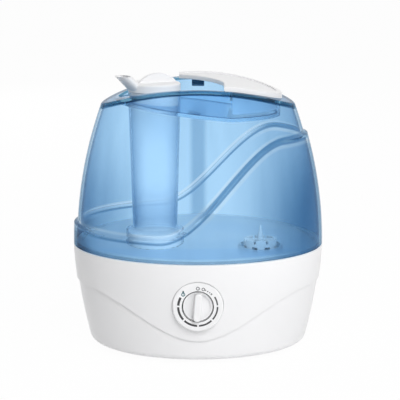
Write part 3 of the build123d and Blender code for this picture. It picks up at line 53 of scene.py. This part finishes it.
# Studio: a floor, an even fill and three soft lamps, in metres and watts
WHITE = (1, 1, 1, 1)
FLOOR_SIZE = 60.0
FLOOR_TONE = (0.92, 0.92, 0.92, 1)
FLOOR_WHITE = 0.97
FILL_LEVEL = 0.36
LAMP_TARGET = Vector((0, 0, 0.11))
KEY_PLACE = (0.45, -1.4, 1.2)
KEY_SIZE = 0.9
KEY_POWER = 20.5
SIDE_PLACE = (1.2, -0.5, 0.9)
SIDE_SIZE = 0.9
SIDE_POWER = 3.0
BACK_PLACE = (-0.7, 1.5, 0.8)
BACK_SIZE = 1.2
BACK_POWER = 9.0
LIGHT_BOUNCES = 32

# Sockets of a Mix node that carry colours
MIX_FIRST = 6
MIX_SECOND = 7
MIX_RESULT = 2

# Moulded plastic: scales are per metre, heights in metres
DRIFT_SCALE = 14.0
DRIFT_ROUGH = 0.08
SKIN_SCALE = 1400.0
SKIN_DETAIL = 2.0
SKIN_HEIGHT = 0.04 * MM
MOULDED_BEND = 1.4

# Rubber and sintered pieces
RUBBER_ROUGH = 0.7
SPECKLE_SCALE = 900.0
SPECKLE_DETAIL = 4.0
SPECKLE_GRIT = 0.7
SPECKLE_LIFT = 1.5
SPECKLE_ROUGH = 0.2
SPECKLE_BUMP = 0.3
SPECKLE_HEIGHT = 0.08 * MM

# Bare metal
MARK_SCALE = 600.0
MARK_DETAIL = 3.0
MARK_GRIT = 0.6
MARK_LIFT = 1.15
MARK_ROUGH = 0.2
MARK_BUMP = 0.15
MARK_HEIGHT = 0.04 * MM

# See-through plastic: slow flow of the tint and upright flow lines
NOISE_MIDDLE = 0.5
FLOW_SCALE = 9.0
FLOW_DRIFT = 0.12
FLOW_ROUGH = 0.02
FLOW_LINE_SCALE = 55.0
FLOW_LINE_STRETCH = (1, 1, 0.04)
FLOW_LINE_DRIFT = 0.35
EDGE_BLEND = 0.34
COAT_SHARE = 0.25
COAT_ROUGH = 0.04
COAT_BEND = 1.45
LAMP_TINT = 0.35  # lamp light takes the thin tint to this power at each wall

# Form of the tank, in metres
ARCH_AXIS = 0.014
ARCH_RADIUS = 0.217
TOP_HALF = 0.0842
TOP_END = 0.214
TOP_DRAW = 0.2
WELL_HALF = 0.0692
WELL_FLOOR = 0.206
WELL_KNEE = 0.029
WELL_SLOPE = 0.121
PLAN_CUT = 0.017
WAVE_LOW = 0.1115
WAVE_HIGH = 0.1908
WAVE_START = -0.034
WAVE_END = 0.073
WAVE_RUN = WAVE_END - WAVE_START
WAVE_CLIMB = WAVE_HIGH - WAVE_LOW
SMOOTH_SLOPE = 6  # the slope of a smooth step at a share t is this times t (1 - t)
LINE_CORE = 1 / 3  # share of a soft line that has its full strength

# Tints, painted shade and painted highlights of the tank: shares of a tint, and pairs, mostly in metres, between
# which a field rises
PALE_BLUE = (0.92, 0.945, 0.965, 1)
# Dark blue of the painted shade at the tank's edges, also laid on the latch
SHADE_BLUE = (0.02, 0.11, 0.22, 1)
BACK_RISE = (-0.01, 0.01)
# Painted shade low at the tank's ends, stronger at the right end
END_SHADE = 0.85
END_RISE = (0.025, 0.11)
END_TOP_RISE = (0.09, 0.24)
END_LEFT_SHARE = 0.55
END_RIGHT_RISE = (-0.06, 0.06)
# Painted shade in a line under the wave's edge and on its band where it climbs; painted reflection on the band
# elsewhere
RIDGE_SHADE = 0.95
RIDGE_BAND = 0.0055
RIDGE_LINE = 0.0014
BAND_SHADE = 0.75
BAND_REFLECTION = 0.2
CLIMB_FRONT_RISE = (-0.015, 0.02)
CLIMB_BACK_RISE = (0.04, 0.072)
# Painted highlight lines on the wave's crest and under its band
CREST_LINE = 0.0018
CREST_HIGHLIGHT = 0.55
CREST_FADE = 0.7
CREST_FADE_RISE = (0.045, 0.08)
UNDER_LINE = 0.0024
UNDER_HIGHLIGHT = 0.45
# A painted streak of shade on the back wall behind the chimney
STREAK_SHADE = 0.55
STREAK_HALF = 0.010
STREAK_BACK_RISE = (0.0, 0.01)
STREAK_TOP_RISE = (0.19, 0.21)
# Painted light at the tank's upper left
LEFT_LIGHT = 0.22
LEFT_RISE = (-0.08, -0.02)
UPPER_RISE = (0.12, 0.19)
WELL_SHADE = 0.1
WELL_PALE = 0.55
WELL_RIM_RISE = (1.06, 1.1)
WELL_BOTTOM_RISE = (0.2, 0.204)
HANDLE_RISE = (0.02, 0.035)
# Painted shade at the outline, along the brim, at the foot of the well and at the left end; the latch and the
# lower edge are darkened too
OUTLINE_SHADE = 0.75
OUTLINE_RISE = (0.56, 0.7)
BRIM_SHADE = 1.0
BRIM_WIDE = 0.18
BRIM_MIDDLE_RISE = (0.03, 0.065)
BRIM_ARCH_RISE = (ARCH_RADIUS - 0.0042, ARCH_RADIUS - 0.0034)
BRIM_REACH_RISE = (0.9, 0.925)
LATCH_DEPTH = 0.9
LATCH_HALF = 0.0056
LATCH_BACK_RISE = (0.0425, 0.0435)
LATCH_FOOT_RISE = (0.2215, 0.2225)
FOOT_SHADE = 0.9
FOOT_DROP = 0.001
FOOT_HALF = 0.0025
FOOT_REACH_RISE = (0.92, 0.96)
SEAM_DEPTH = 0.35
SEAM_RISE = (0.0922, 0.0935)
CORNER_SHADE = 0.65
CORNER_RISE = (-0.108, -0.088)
CORNER_WAVE_RISE = (-0.012, -0.005)

# Tints of the chimney, with painted light on its collar and upper part, and of the tank's floor, in shares and
# metres of height
CHIMNEY_DEPTH = 0.45
COLLAR_TOP_RISE = (0.101, 0.106)
COLLAR_LIGHT = 0.2
CHIMNEY_LIGHT = 0.3
CHIMNEY_PALE_RISE = (0.11, 0.15)
SPIGOT_RISE = (0.0865, 0.0885)

# Dial marks, in metres from the dial's axis and in degrees clockwise from the top
DIAL_FACE_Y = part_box("dial_bezel")[0].y
DIAL_X, _, DIAL_Z = next(joint["pos_m"] for joint in frame["joints"] if joint["name"] == "knob_turn")
INK_RAISE = 0.06 * MM
INK_MERGE = INK_RAISE / 100
INK_BODY = "base"
SCALE_RADIUS = 16.4 * MM
SCALE_START = 58.5
SCALE_END = 299.0
SCALE_MIDDLE = 179.5
SCALE_STEP = 46.0
SCALE_GAP = 5.0
SCALE_SEGMENTS = 6
SCALE_THIN = 1.15 * MM
SCALE_THICK = 2.0 * MM
ARC_STEP = 4.0
ARC_SIDES = 4
# A dark ring of painted shade around the knob's gap
KNOB_SHADE_RING = 13.15 * MM
KNOB_SHADE_LINE = 0.55 * MM
ICON_RADIUS = 15.7 * MM
LAMP_RING = 1.25 * MM
LAMP_LINE = 0.8 * MM
OFF_ANGLE = 17.0
OFF_RING = 1.15 * MM
OFF_LINE = 0.5 * MM
ON_ANGLE = 46.0
ON_RADIUS = 0.95 * MM
ON_SIDES = 4
DOTS = 3
DOT_RADIUS = 0.5 * MM
DOT_SIDES = 12
DROP_ANGLE = 311.0
DROP_PLACE = 16.2 * MM
DROP_RADIUS = 1.7 * MM
DROP_TIP = 0.9
DROP_LINE = 0.65 * MM
DROP_SIDES = 32


class Socket:
    """An output of a node that takes part in plain arithmetic."""

    def __init__(self, tree, output):
        self.tree = tree
        self.output = output

    def math(self, operation, *values):
        return add_node(self.tree, "ShaderNodeMath", {"operation": operation}, dict(enumerate(values)))

    def __add__(self, other):
        return self.math("ADD", self, other)

    def __radd__(self, other):
        return self.math("ADD", other, self)

    def __sub__(self, other):
        return self.math("SUBTRACT", self, other)

    def __rsub__(self, other):
        return self.math("SUBTRACT", other, self)

    def __truediv__(self, other):
        return self.math("DIVIDE", self, other)

    def __mul__(self, other):
        return self.math("MULTIPLY", self, other)

    def __rmul__(self, other):
        return self.math("MULTIPLY", other, self)

    def __pow__(self, other):
        return self.math("POWER", self, other)

    def __abs__(self):
        return self.math("ABSOLUTE", self)

    def __lt__(self, other):
        return self.math("LESS_THAN", self, other)

    def at_least(self, other):
        return self.math("MAXIMUM", self, other)

    def at_most(self, other):
        return self.math("MINIMUM", self, other)


def add_node(tree, kind, settings=None, inputs=None, output=0):
    """Add a node, set its settings first, then its sockets' values or links, and give an output, if any."""
    node = tree.nodes.new(kind)
    for name, value in (settings or {}).items():
        setattr(node, name, value)
    for name, value in (inputs or {}).items():
        if isinstance(value, Socket):
            tree.links.new(value.output, node.inputs[name])
        else:
            node.inputs[name].default_value = value
    return Socket(tree, node.outputs[output]) if node.outputs else None


def new_material(name):
    """A material with an empty node tree."""
    material = bpy.data.materials.new(name)
    material.use_nodes = True
    material.node_tree.nodes.clear()
    return material, material.node_tree


def place(tree):
    """Object coordinates, in metres."""
    return add_node(tree, "ShaderNodeTexCoord", output="Object")


def stretched(tree, scale):
    """Object coordinates with each axis scaled by itself."""
    return add_node(tree, "ShaderNodeMapping", None, {"Vector": place(tree), "Scale": scale})


def axes(tree, where):
    """The three coordinates of a place."""
    split = add_node(tree, "ShaderNodeSeparateXYZ", None, {"Vector": where})
    return [Socket(tree, output) for output in split.output.node.outputs]


def noise(tree, vector, scale, detail=3.0, roughness=0.5):
    """Soft random field from 0 to 1."""
    values = {"Vector": vector, "Scale": scale, "Detail": detail, "Roughness": roughness}
    return add_node(tree, "ShaderNodeTexNoise", None, values, "Fac")


def step(value, low, high):
    """Smooth rise from 0 at one value to 1 at another."""
    limits = {"Value": value, "From Min": low, "From Max": high}
    return add_node(value.tree, "ShaderNodeMapRange", {"interpolation_type": "SMOOTHSTEP"}, limits)


def line(value, middle, half):
    """One on a soft line where a value passes a middle."""
    return 1 - step(abs(value - middle), half * LINE_CORE, half)


def blend(tree, share, first, second):
    """Colour between two colours."""
    colours = {"Factor": share, MIX_FIRST: first, MIX_SECOND: second}
    return add_node(tree, "ShaderNodeMix", {"data_type": "RGBA"}, colours, MIX_RESULT)


def lighter(tone, gain):
    """A tone that is brighter by a gain, as far as white."""
    return tuple(min(1.0, c * gain) for c in tone[:3]) + (1.0,)


def bump(tree, height, strength, distance):
    """Normal of a surface that rises with a field."""
    values = {"Height": height, "Strength": strength, "Distance": distance}
    return add_node(tree, "ShaderNodeBump", None, values)


def mix_shaders(tree, share, first, second):
    """A shader between two shaders."""
    return add_node(tree, "ShaderNodeMixShader", None, {0: share, 1: first, 2: second})


def surface(tree, shader, output_kind="ShaderNodeOutputMaterial"):
    """Send a shader to the output of a material or a world."""
    add_node(tree, output_kind, None, {"Surface": shader})


def oval(x, y, half_width):
    """One on the edge of an oval with the tank's plan, less inside."""
    half_depth = half_width - PLAN_CUT
    return (x / half_width) ** 2 + (y / half_depth) ** 2


def wave_height(x, z):
    """Distance above the edge of the wave, square to its line."""
    along = step(x, WAVE_START, WAVE_END)
    share = ((x - WAVE_START) * (1 / WAVE_RUN)).at_least(0.0).at_most(1.0)
    slope = SMOOTH_SLOPE * WAVE_CLIMB / WAVE_RUN * share * (1 - share)
    return (z - WAVE_LOW - WAVE_CLIMB * along) * (1 + slope**2) ** -0.5


def wave_band(rise):
    """One in the middle of the band under the edge of the wave."""
    return line(rise, -RIDGE_BAND / 2, RIDGE_BAND / 2)


def wave_climb(x, y):
    """One on the front of the tank where the wave climbs, and on the back near its high end."""
    back = step(y, *BACK_RISE)
    return step(x, *CLIMB_FRONT_RISE) * (1 - back) + step(x, *CLIMB_BACK_RISE) * back


def in_well(x, y, z):
    """One on the walls and the floor of the finger well."""
    return (1 - step(oval(x, y, WELL_HALF), *WELL_RIM_RISE)) * step(z, *WELL_BOTTOM_RISE)


def under_handle(x):
    """One in the part of the finger well that the handle covers."""
    return step(x, *HANDLE_RISE)


def tank_depth(tree, where):
    """Painted shade low at the ends, more at the right, under the wave's edge, on its climbing band, in a streak
    and in the well; painted light at the upper left.
    """
    x, y, z = axes(tree, where)
    right = END_LEFT_SHARE + (1 - END_LEFT_SHARE) * step(x, *END_RIGHT_RISE)
    ends = step(abs(x), *END_RISE) * (1 - step(z, *END_TOP_RISE)) * right
    rise = wave_height(x, z)
    ridge_shade = line(rise, -RIDGE_BAND, RIDGE_LINE)
    band = wave_climb(x, y) * wave_band(rise)
    streak = line(x, 0.0, STREAK_HALF) * step(y, *STREAK_BACK_RISE) * (1 - step(z, *STREAK_TOP_RISE))
    well = in_well(x, y, z) * (1 - under_handle(x))
    upper_left_light = (1 - step(x, *LEFT_RISE)) * step(z, *UPPER_RISE)
    # Painted shade at the ends, under the wave, on its band, in the streak and in the well; painted light at the
    # upper left
    deep = END_SHADE * ends + RIDGE_SHADE * ridge_shade + BAND_SHADE * band + STREAK_SHADE * streak
    return deep + WELL_SHADE * well - LEFT_LIGHT * upper_left_light


def tank_pale(tree, where):
    """Less tint in the finger well; painted highlights on the wave's crest and under its band, and painted
    reflection in the band.
    """
    x, y, z = axes(tree, where)
    well = in_well(x, y, z) * (WELL_PALE + (1 - WELL_PALE) * under_handle(x))
    rise = wave_height(x, z)
    climb = wave_climb(x, y)
    # Painted reflection in the band, and painted highlight lines on the crest and under the band
    band = wave_band(rise) * (1 - climb)
    crest = line(rise, 0.0, CREST_LINE) * (1 - CREST_FADE * step(x, *CREST_FADE_RISE))
    under = line(rise, -RIDGE_BAND - UNDER_LINE, UNDER_LINE) * climb
    return well.at_least(BAND_REFLECTION * band).at_least(UNDER_HIGHLIGHT * under).at_least(CREST_HIGHLIGHT * crest)


def tank_painted_shade(tree, where, edge):
    """Painted shade at the tank's thick edges: outline, brim, foot of the well and left end; the latch and the
    lower edge are darkened too.
    """
    x, y, z = axes(tree, where)
    well = in_well(x, y, z)
    outline = step(edge, *OUTLINE_RISE) * (1 - well)
    arch = (x**2 + (z - ARCH_AXIS) ** 2) ** 0.5
    top_half = TOP_HALF - TOP_DRAW * (z - TOP_END)
    front = (1 - step(abs(x), *BRIM_MIDDLE_RISE)) * (1 - step(y, *BACK_RISE))
    reach = oval(x, y, top_half) + BRIM_WIDE * front
    brim = step(arch, *BRIM_ARCH_RISE) * step(reach, *BRIM_REACH_RISE)
    latch = (abs(x) < LATCH_HALF) * step(y, *LATCH_BACK_RISE) * step(z, *LATCH_FOOT_RISE)
    floor = WELL_FLOOR + WELL_SLOPE * (WELL_KNEE - x).at_least(0.0)
    foot = line(z - floor, -FOOT_DROP, FOOT_HALF) * step(oval(x, y, WELL_HALF), *FOOT_REACH_RISE) * well
    seam = 1 - step(z, *SEAM_RISE)
    corner = (1 - step(x, *CORNER_RISE)) * (1 - step(wave_height(x, z), *CORNER_WAVE_RISE))
    # Painted shade at the outline, brim, foot of the well and left end, laid on with the darker latch and lower
    # edge
    dark = OUTLINE_SHADE * outline + BRIM_SHADE * brim + LATCH_DEPTH * latch + FOOT_SHADE * foot
    return dark + SEAM_DEPTH * seam + CORNER_SHADE * corner


def chimney_depth(tree, where):
    """More tint low on the chimney above its collar, and painted light on the collar and on the upper part."""
    z = axes(tree, where)[2]
    # Painted light on the collar and on the chimney's upper part
    low = CHIMNEY_DEPTH * step(z, *COLLAR_TOP_RISE) - COLLAR_LIGHT
    return low - CHIMNEY_LIGHT * step(z, *CHIMNEY_PALE_RISE)


def floor_depth(tree, where):
    """More tint on the spigot under the tank's floor."""
    return 1 - step(axes(tree, where)[2], *SPIGOT_RISE)


def moulded(name, light, dark, rough, grain):
    """Moulded plastic: faint tone drift and a fine eggshell skin."""
    material, tree = new_material(name)
    where = place(tree)
    drift = noise(tree, where, DRIFT_SCALE)
    skin = noise(tree, where, SKIN_SCALE, SKIN_DETAIL)
    shader = add_node(tree, "ShaderNodeBsdfPrincipled", None, {
        "Base Color": blend(tree, drift, light, dark),
        "Roughness": rough + DRIFT_ROUGH * drift,
        "IOR": MOULDED_BEND,
        "Normal": bump(tree, skin, grain, SKIN_HEIGHT),
    })
    surface(tree, shader)
    return material


def see_through(name, thin, deep, rough, bend, milk, depth=None, pale=None, dark=None):
    """Clear tinted plastic that looks deeper where it is seen edge on, and lets lamp light through."""
    material, tree = new_material(name)
    where = place(tree)
    flow = noise(tree, where, FLOW_SCALE)
    flow_line = noise(tree, stretched(tree, FLOW_LINE_STRETCH), FLOW_LINE_SCALE)
    edge = add_node(tree, "ShaderNodeLayerWeight", None, {"Blend": EDGE_BLEND}, "Facing")
    share = edge + FLOW_DRIFT * (flow - NOISE_MIDDLE) + FLOW_LINE_DRIFT * (flow_line - NOISE_MIDDLE)
    if depth:
        share = share + depth(tree, where)
    tint = blend(tree, share, thin, deep)
    # Painted highlights, painted reflection and paler areas
    if pale:
        tint = blend(tree, pale(tree, where), tint, PALE_BLUE)
    # Painted shade
    if dark:
        tint = blend(tree, dark(tree, where, edge), tint, SHADE_BLUE)
    clear = add_node(tree, "ShaderNodeBsdfPrincipled", None, {
        "Base Color": tint,
        "Roughness": rough + FLOW_ROUGH * flow,
        "IOR": bend,
        "Transmission Weight": 1.0 - milk,
        "Coat Weight": COAT_SHARE * (1 - edge),
        "Coat Roughness": COAT_ROUGH,
        "Coat IOR": COAT_BEND,
    })
    lamp_tint = tuple(c**LAMP_TINT for c in thin[:3]) + (1.0,)
    passing = add_node(tree, "ShaderNodeBsdfTransparent", None, {"Color": lamp_tint})
    lamp_ray = add_node(tree, "ShaderNodeLightPath", output="Is Shadow Ray")
    surface(tree, mix_shaders(tree, lamp_ray, clear, passing))
    return material


def rubber(name, tone):
    """Dull rubber with a fine speckle."""
    material, tree = new_material(name)
    speckle = noise(tree, place(tree), SPECKLE_SCALE, SPECKLE_DETAIL, SPECKLE_GRIT)
    shader = add_node(tree, "ShaderNodeBsdfPrincipled", None, {
        "Base Color": blend(tree, speckle, tone, lighter(tone, SPECKLE_LIFT)),
        "Roughness": RUBBER_ROUGH + SPECKLE_ROUGH * speckle,
        "Normal": bump(tree, speckle, SPECKLE_BUMP, SPECKLE_HEIGHT),
    })
    surface(tree, shader)
    return material


def metal(name, tone, rough, stretch):
    """Bare metal with fine marks that run one way."""
    material, tree = new_material(name)
    marks = noise(tree, stretched(tree, stretch), MARK_SCALE, MARK_DETAIL, MARK_GRIT)
    shader = add_node(tree, "ShaderNodeBsdfPrincipled", None, {
        "Base Color": blend(tree, marks, tone, lighter(tone, MARK_LIFT)),
        "Metallic": 1.0,
        "Roughness": rough + MARK_ROUGH * marks,
        "Normal": bump(tree, marks, MARK_BUMP, MARK_HEIGHT),
    })
    surface(tree, shader)
    return material


WHITE_SHELL = moulded(
    "white_gloss_shell", light=(0.86, 0.86, 0.87, 1), dark=(0.84, 0.84, 0.85, 1), rough=0.26, grain=0.25
)
WHITE_INNER = moulded(
    "white_satin_inner", light=(0.82, 0.82, 0.82, 1), dark=(0.78, 0.78, 0.79, 1), rough=0.42, grain=0.4
)
BLACK_PLASTIC = moulded(
    "black_moulding", light=(0.012, 0.012, 0.014, 1), dark=(0.022, 0.022, 0.024, 1), rough=0.4, grain=0.8
)
BOARD_GREEN = moulded(
    "green_board", light=(0.012, 0.12, 0.035, 1), dark=(0.02, 0.17, 0.05, 1), rough=0.3, grain=0.3
)
GREY_INK = moulded(
    "grey_ink", light=(0.05, 0.05, 0.053, 1), dark=(0.065, 0.065, 0.068, 1), rough=0.5, grain=0.2
)
PALE_INK = moulded(
    "pale_ink", light=(0.22, 0.23, 0.24, 1), dark=(0.26, 0.27, 0.28, 1), rough=0.5, grain=0.2
)
TEAL_INK = moulded(
    "teal_ink", light=(0.02, 0.14, 0.17, 1), dark=(0.03, 0.17, 0.2, 1), rough=0.5, grain=0.2
)
TANK_BLUE = see_through(
    "blue_tank_plastic",
    thin=(0.64, 0.83, 0.985, 1),
    deep=(0.2, 0.38, 0.57, 1),
    rough=0.02,
    bend=1.05,
    milk=0.0,
    depth=tank_depth,
    pale=tank_pale,
    dark=tank_painted_shade,
)
CHIMNEY_BLUE = see_through(
    "blue_chimney_plastic",
    thin=(0.97, 0.985, 1.0, 1),
    deep=(0.26, 0.45, 0.63, 1),
    rough=0.03,
    bend=1.06,
    milk=0.25,
    depth=chimney_depth,
)
FLOOR_BLUE = see_through(
    "blue_floor_plastic",
    thin=(0.96, 0.95, 0.925, 1),
    deep=(0.66, 0.79, 0.9, 1),
    rough=0.3,
    bend=1.06,
    milk=0.35,
    depth=floor_depth,
)
GLASS = see_through(
    "clear_glass", thin=(0.93, 0.97, 0.95, 1), deep=(0.8, 0.9, 0.85, 1), rough=0.02, bend=1.5, milk=0.0
)
GREY_RUBBER = rubber("grey_rubber", tone=(0.07, 0.07, 0.072, 1))
MAGNET = rubber("sintered_magnet", tone=(0.025, 0.025, 0.027, 1))
STEEL = metal("plain_steel", tone=(0.55, 0.55, 0.57, 1), rough=0.25, stretch=(1, 1, 6))
ALUMINIUM = metal("bare_aluminium", tone=(0.72, 0.72, 0.74, 1), rough=0.35, stretch=(1, 8, 1))

FINISHES = {
    "white_shell": WHITE_SHELL,
    "white_inner": WHITE_INNER,
    "blue_tank": TANK_BLUE,
    "grey_rubber": GREY_RUBBER,
    "steel": STEEL,
    "bare_aluminium": ALUMINIUM,
    "black_plastic": BLACK_PLASTIC,
    "green_board": BOARD_GREEN,
    "magnet": MAGNET,
    "clear_glass": GLASS,
}
OWN_FINISHES = {"mist_chimney": CHIMNEY_BLUE, "tank_floor": FLOOR_BLUE}


def finish_nodes():
    """Give every solid piece its own finish, or else the finish of its slot."""
    for part in frame["record"]["subparts"]:
        finish = OWN_FINISHES.get(part["node"], FINISHES[part["material_slot"]])
        for slot in frame["nodes"][part["node"]].material_slots:
            slot.link = "OBJECT"
            slot.material = finish


def start(name):
    """Name the object that was just added and open it for editing."""
    piece = bpy.context.object
    piece.name = name
    piece.data.name = name
    bpy.ops.object.mode_set(mode="EDIT")
    return piece


def close(piece, material, body):
    """Tidy a modelled piece, put its place into its mesh, colour it and let it ride on a body."""
    bpy.ops.mesh.select_all(action="SELECT")
    bpy.ops.mesh.remove_doubles(threshold=INK_MERGE)
    bpy.ops.mesh.normals_make_consistent(inside=False)
    bpy.ops.object.mode_set(mode="OBJECT")
    bpy.ops.object.transform_apply(location=True, rotation=True, scale=True)
    piece.data.materials.append(material)
    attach(piece, body)
    piece.select_set(False)


def dial_point(degrees, radius):
    """Point on the dial face at an angle clockwise from the top."""
    turn = radians(degrees)
    return Vector((DIAL_X + radius * sin(turn), DIAL_FACE_Y, DIAL_Z + radius * cos(turn)))


def dial_disc(centre, radius, sides):
    """A flat disc on the dial face, to start a mark from."""
    bpy.ops.object.select_all(action="DESELECT")
    bpy.ops.mesh.primitive_circle_add(
        vertices=sides, radius=radius, fill_type="NGON", location=centre, rotation=(QUARTER_TURN, 0, 0)
    )


def arc_mark(name, centre, radius, first, sweep, width, material):
    """A raised band of ink along part of a circle on the dial face."""
    bpy.ops.object.select_all(action="DESELECT")
    bpy.ops.mesh.primitive_plane_add(size=1.0, location=centre)
    piece = start(name)
    bpy.ops.transform.resize(value=(width, INK_RAISE, 1))
    bpy.ops.transform.rotate(value=QUARTER_TURN, orient_axis="Y", center_override=centre)
    bpy.ops.transform.translate(value=(0, -INK_RAISE / 2, radius))
    bpy.ops.mesh.delete(type="ONLY_FACE")
    bpy.ops.mesh.select_all(action="SELECT")
    steps = round(sweep / ARC_STEP)
    bpy.ops.mesh.spin(steps=steps, angle=radians(-sweep), center=centre, axis=(0, 1, 0))
    bpy.ops.mesh.select_all(action="SELECT")
    bpy.ops.mesh.remove_doubles(threshold=INK_MERGE)
    if sweep < FULL_CIRCLE:
        bpy.ops.mesh.select_all(action="DESELECT")
        bpy.ops.mesh.select_non_manifold(use_multi_face=False, use_non_contiguous=False, use_verts=False)
        bpy.ops.mesh.fill_holes(sides=ARC_SIDES)
    piece.rotation_euler.y = radians(first)
    close(piece, material, INK_BODY)


def ring_mark(name, centre, radius, width, material):
    """A raised ring of ink on the dial face."""
    arc_mark(name, centre, radius, 0, FULL_CIRCLE, width, material)


def dot_mark(name, centre, radius, sides, material):
    """A small raised dot of ink with a bevelled rim."""
    dial_disc(centre, radius, sides)
    piece = start(name)
    bpy.ops.mesh.extrude_region_move(TRANSFORM_OT_translate={"value": (0, -INK_RAISE, 0)})
    bpy.ops.mesh.inset(thickness=INK_RAISE / 2, depth=0)
    bpy.ops.mesh.select_all(action="DESELECT")
    bpy.ops.mesh.select_non_manifold()
    bpy.ops.mesh.edge_face_add()
    close(piece, material, INK_BODY)


def drop_mark(name, centre, radius, material):
    """A raised outline of a water drop, drawn out to a tip at the top."""
    dial_disc(centre, radius, DROP_SIDES)
    for corner in bpy.context.object.data.vertices:
        rise = max(0.0, corner.co.y / radius)
        corner.co.x *= 1 - rise**2
        corner.co.y *= 1 + DROP_TIP * rise
    piece = start(name)
    bpy.ops.mesh.select_all(action="SELECT")
    bpy.ops.mesh.inset(thickness=DROP_LINE, depth=0)
    bpy.ops.mesh.delete(type="ONLY_FACE")
    bpy.ops.mesh.select_all(action="SELECT")
    bpy.ops.mesh.extrude_region_move(TRANSFORM_OT_translate={"value": (0, -INK_RAISE, 0)})
    close(piece, material, INK_BODY)


def dial_marks():
    """The print on the dial: bands that grow thicker, rings, a row of dots, a square and a drop, with a ring of
    painted shade around the knob's gap.
    """
    centre = dial_point(0, 0)
    for i in range(SCALE_SEGMENTS):
        width = SCALE_THIN + (SCALE_THICK - SCALE_THIN) * i / (SCALE_SEGMENTS - 1)
        bound = SCALE_MIDDLE + (i - SCALE_SEGMENTS / 2) * SCALE_STEP
        first = max(SCALE_START, bound + SCALE_GAP / 2)
        last = min(SCALE_END, bound + SCALE_STEP - SCALE_GAP / 2)
        arc_mark(f"scale_band_{i + 1}", centre, SCALE_RADIUS, first, last - first, width, GREY_INK)
    # A ring of painted shade around the knob's gap
    ring_mark("knob_gap_shade", centre, KNOB_SHADE_RING, KNOB_SHADE_LINE, GREY_INK)
    ring_mark("lamp_ring", dial_point(0, ICON_RADIUS), LAMP_RING, LAMP_LINE, PALE_INK)
    ring_mark("off_ring", dial_point(OFF_ANGLE, ICON_RADIUS), OFF_RING, OFF_LINE, GREY_INK)
    for i in range(DOTS):
        angle = OFF_ANGLE + (ON_ANGLE - OFF_ANGLE) * (i + 1) / (DOTS + 1)
        dot_mark(f"scale_dot_{i + 1}", dial_point(angle, ICON_RADIUS), DOT_RADIUS, DOT_SIDES, GREY_INK)
    dot_mark("on_square", dial_point(ON_ANGLE, ICON_RADIUS), ON_RADIUS, ON_SIDES, PALE_INK)
    drop_mark("drop_mark", dial_point(DROP_ANGLE, DROP_PLACE), DROP_RADIUS, TEAL_INK)


def seen_directly(tree):
    """One for rays from the camera, off gloss and through glass, and zero for soft light."""
    camera_ray = add_node(tree, "ShaderNodeLightPath", output="Is Camera Ray")
    glossy_ray = add_node(tree, "ShaderNodeLightPath", output="Is Glossy Ray")
    glass_ray = add_node(tree, "ShaderNodeLightPath", output="Is Transmission Ray")
    return camera_ray.at_least(glossy_ray).at_least(glass_ray)


def pale_floor():
    """A wide pale floor that keeps a soft shadow."""
    bpy.ops.object.select_all(action="DESELECT")
    bpy.ops.mesh.primitive_plane_add(size=FLOOR_SIZE)
    floor = bpy.context.object
    floor.name = "floor"
    material, tree = new_material("pale_floor")
    paint = add_node(tree, "ShaderNodeBsdfDiffuse", None, {"Color": FLOOR_TONE})
    glow = add_node(tree, "ShaderNodeEmission", None, {"Color": WHITE, "Strength": 1.0})
    surface(tree, mix_shaders(tree, seen_directly(tree) * FLOOR_WHITE, paint, glow))
    floor.data.materials.append(material)


def white_surroundings():
    """White all round for the eye, and a lower even fill for soft light."""
    world = bpy.data.worlds.new("studio")
    bpy.context.scene.world = world
    world.use_nodes = True
    tree = world.node_tree
    tree.nodes.clear()
    fill = add_node(tree, "ShaderNodeBackground", None, {"Color": WHITE, "Strength": FILL_LEVEL})
    white = add_node(tree, "ShaderNodeBackground", None, {"Color": WHITE, "Strength": 1.0})
    surface(tree, mix_shaders(tree, seen_directly(tree), fill, white), "ShaderNodeOutputWorld")


def softbox(name, spot, size, power):
    """A square soft lamp that points at the middle of the object."""
    lamp = bpy.data.lights.new(name, "AREA")
    lamp.shape = "SQUARE"
    lamp.size = size
    lamp.energy = power
    holder = bpy.data.objects.new(name, lamp)
    holder.visible_glossy = False
    holder.visible_transmission = False
    holder.location = spot
    holder.rotation_euler = (LAMP_TARGET - Vector(spot)).to_track_quat("-Z", "Y").to_euler()
    bpy.context.scene.collection.objects.link(holder)


def front_camera():
    """Camera in front of the dial."""
    data = bpy.data.cameras.new("camera")
    data.sensor_width = SENSOR
    data.lens = SENSOR * FOCAL_SHARE
    camera = bpy.data.objects.new("camera", data)
    camera.location = CAMERA_PLACE
    camera.rotation_euler = (QUARTER_TURN - CAMERA_PITCH, 0, 0)
    bpy.context.scene.collection.objects.link(camera)
    bpy.context.scene.camera = camera


finish_nodes()
dial_marks()
pale_floor()
white_surroundings()
softbox("key_lamp", KEY_PLACE, KEY_SIZE, KEY_POWER)
softbox("side_lamp", SIDE_PLACE, SIDE_SIZE, SIDE_POWER)
softbox("back_lamp", BACK_PLACE, BACK_SIZE, BACK_POWER)
front_camera()
bpy.context.scene.view_settings.view_transform = "Standard"
bpy.context.scene.cycles.max_bounces = LIGHT_BOUNCES
bpy.context.scene.cycles.glossy_bounces = LIGHT_BOUNCES
bpy.context.scene.cycles.transmission_bounces = LIGHT_BOUNCES
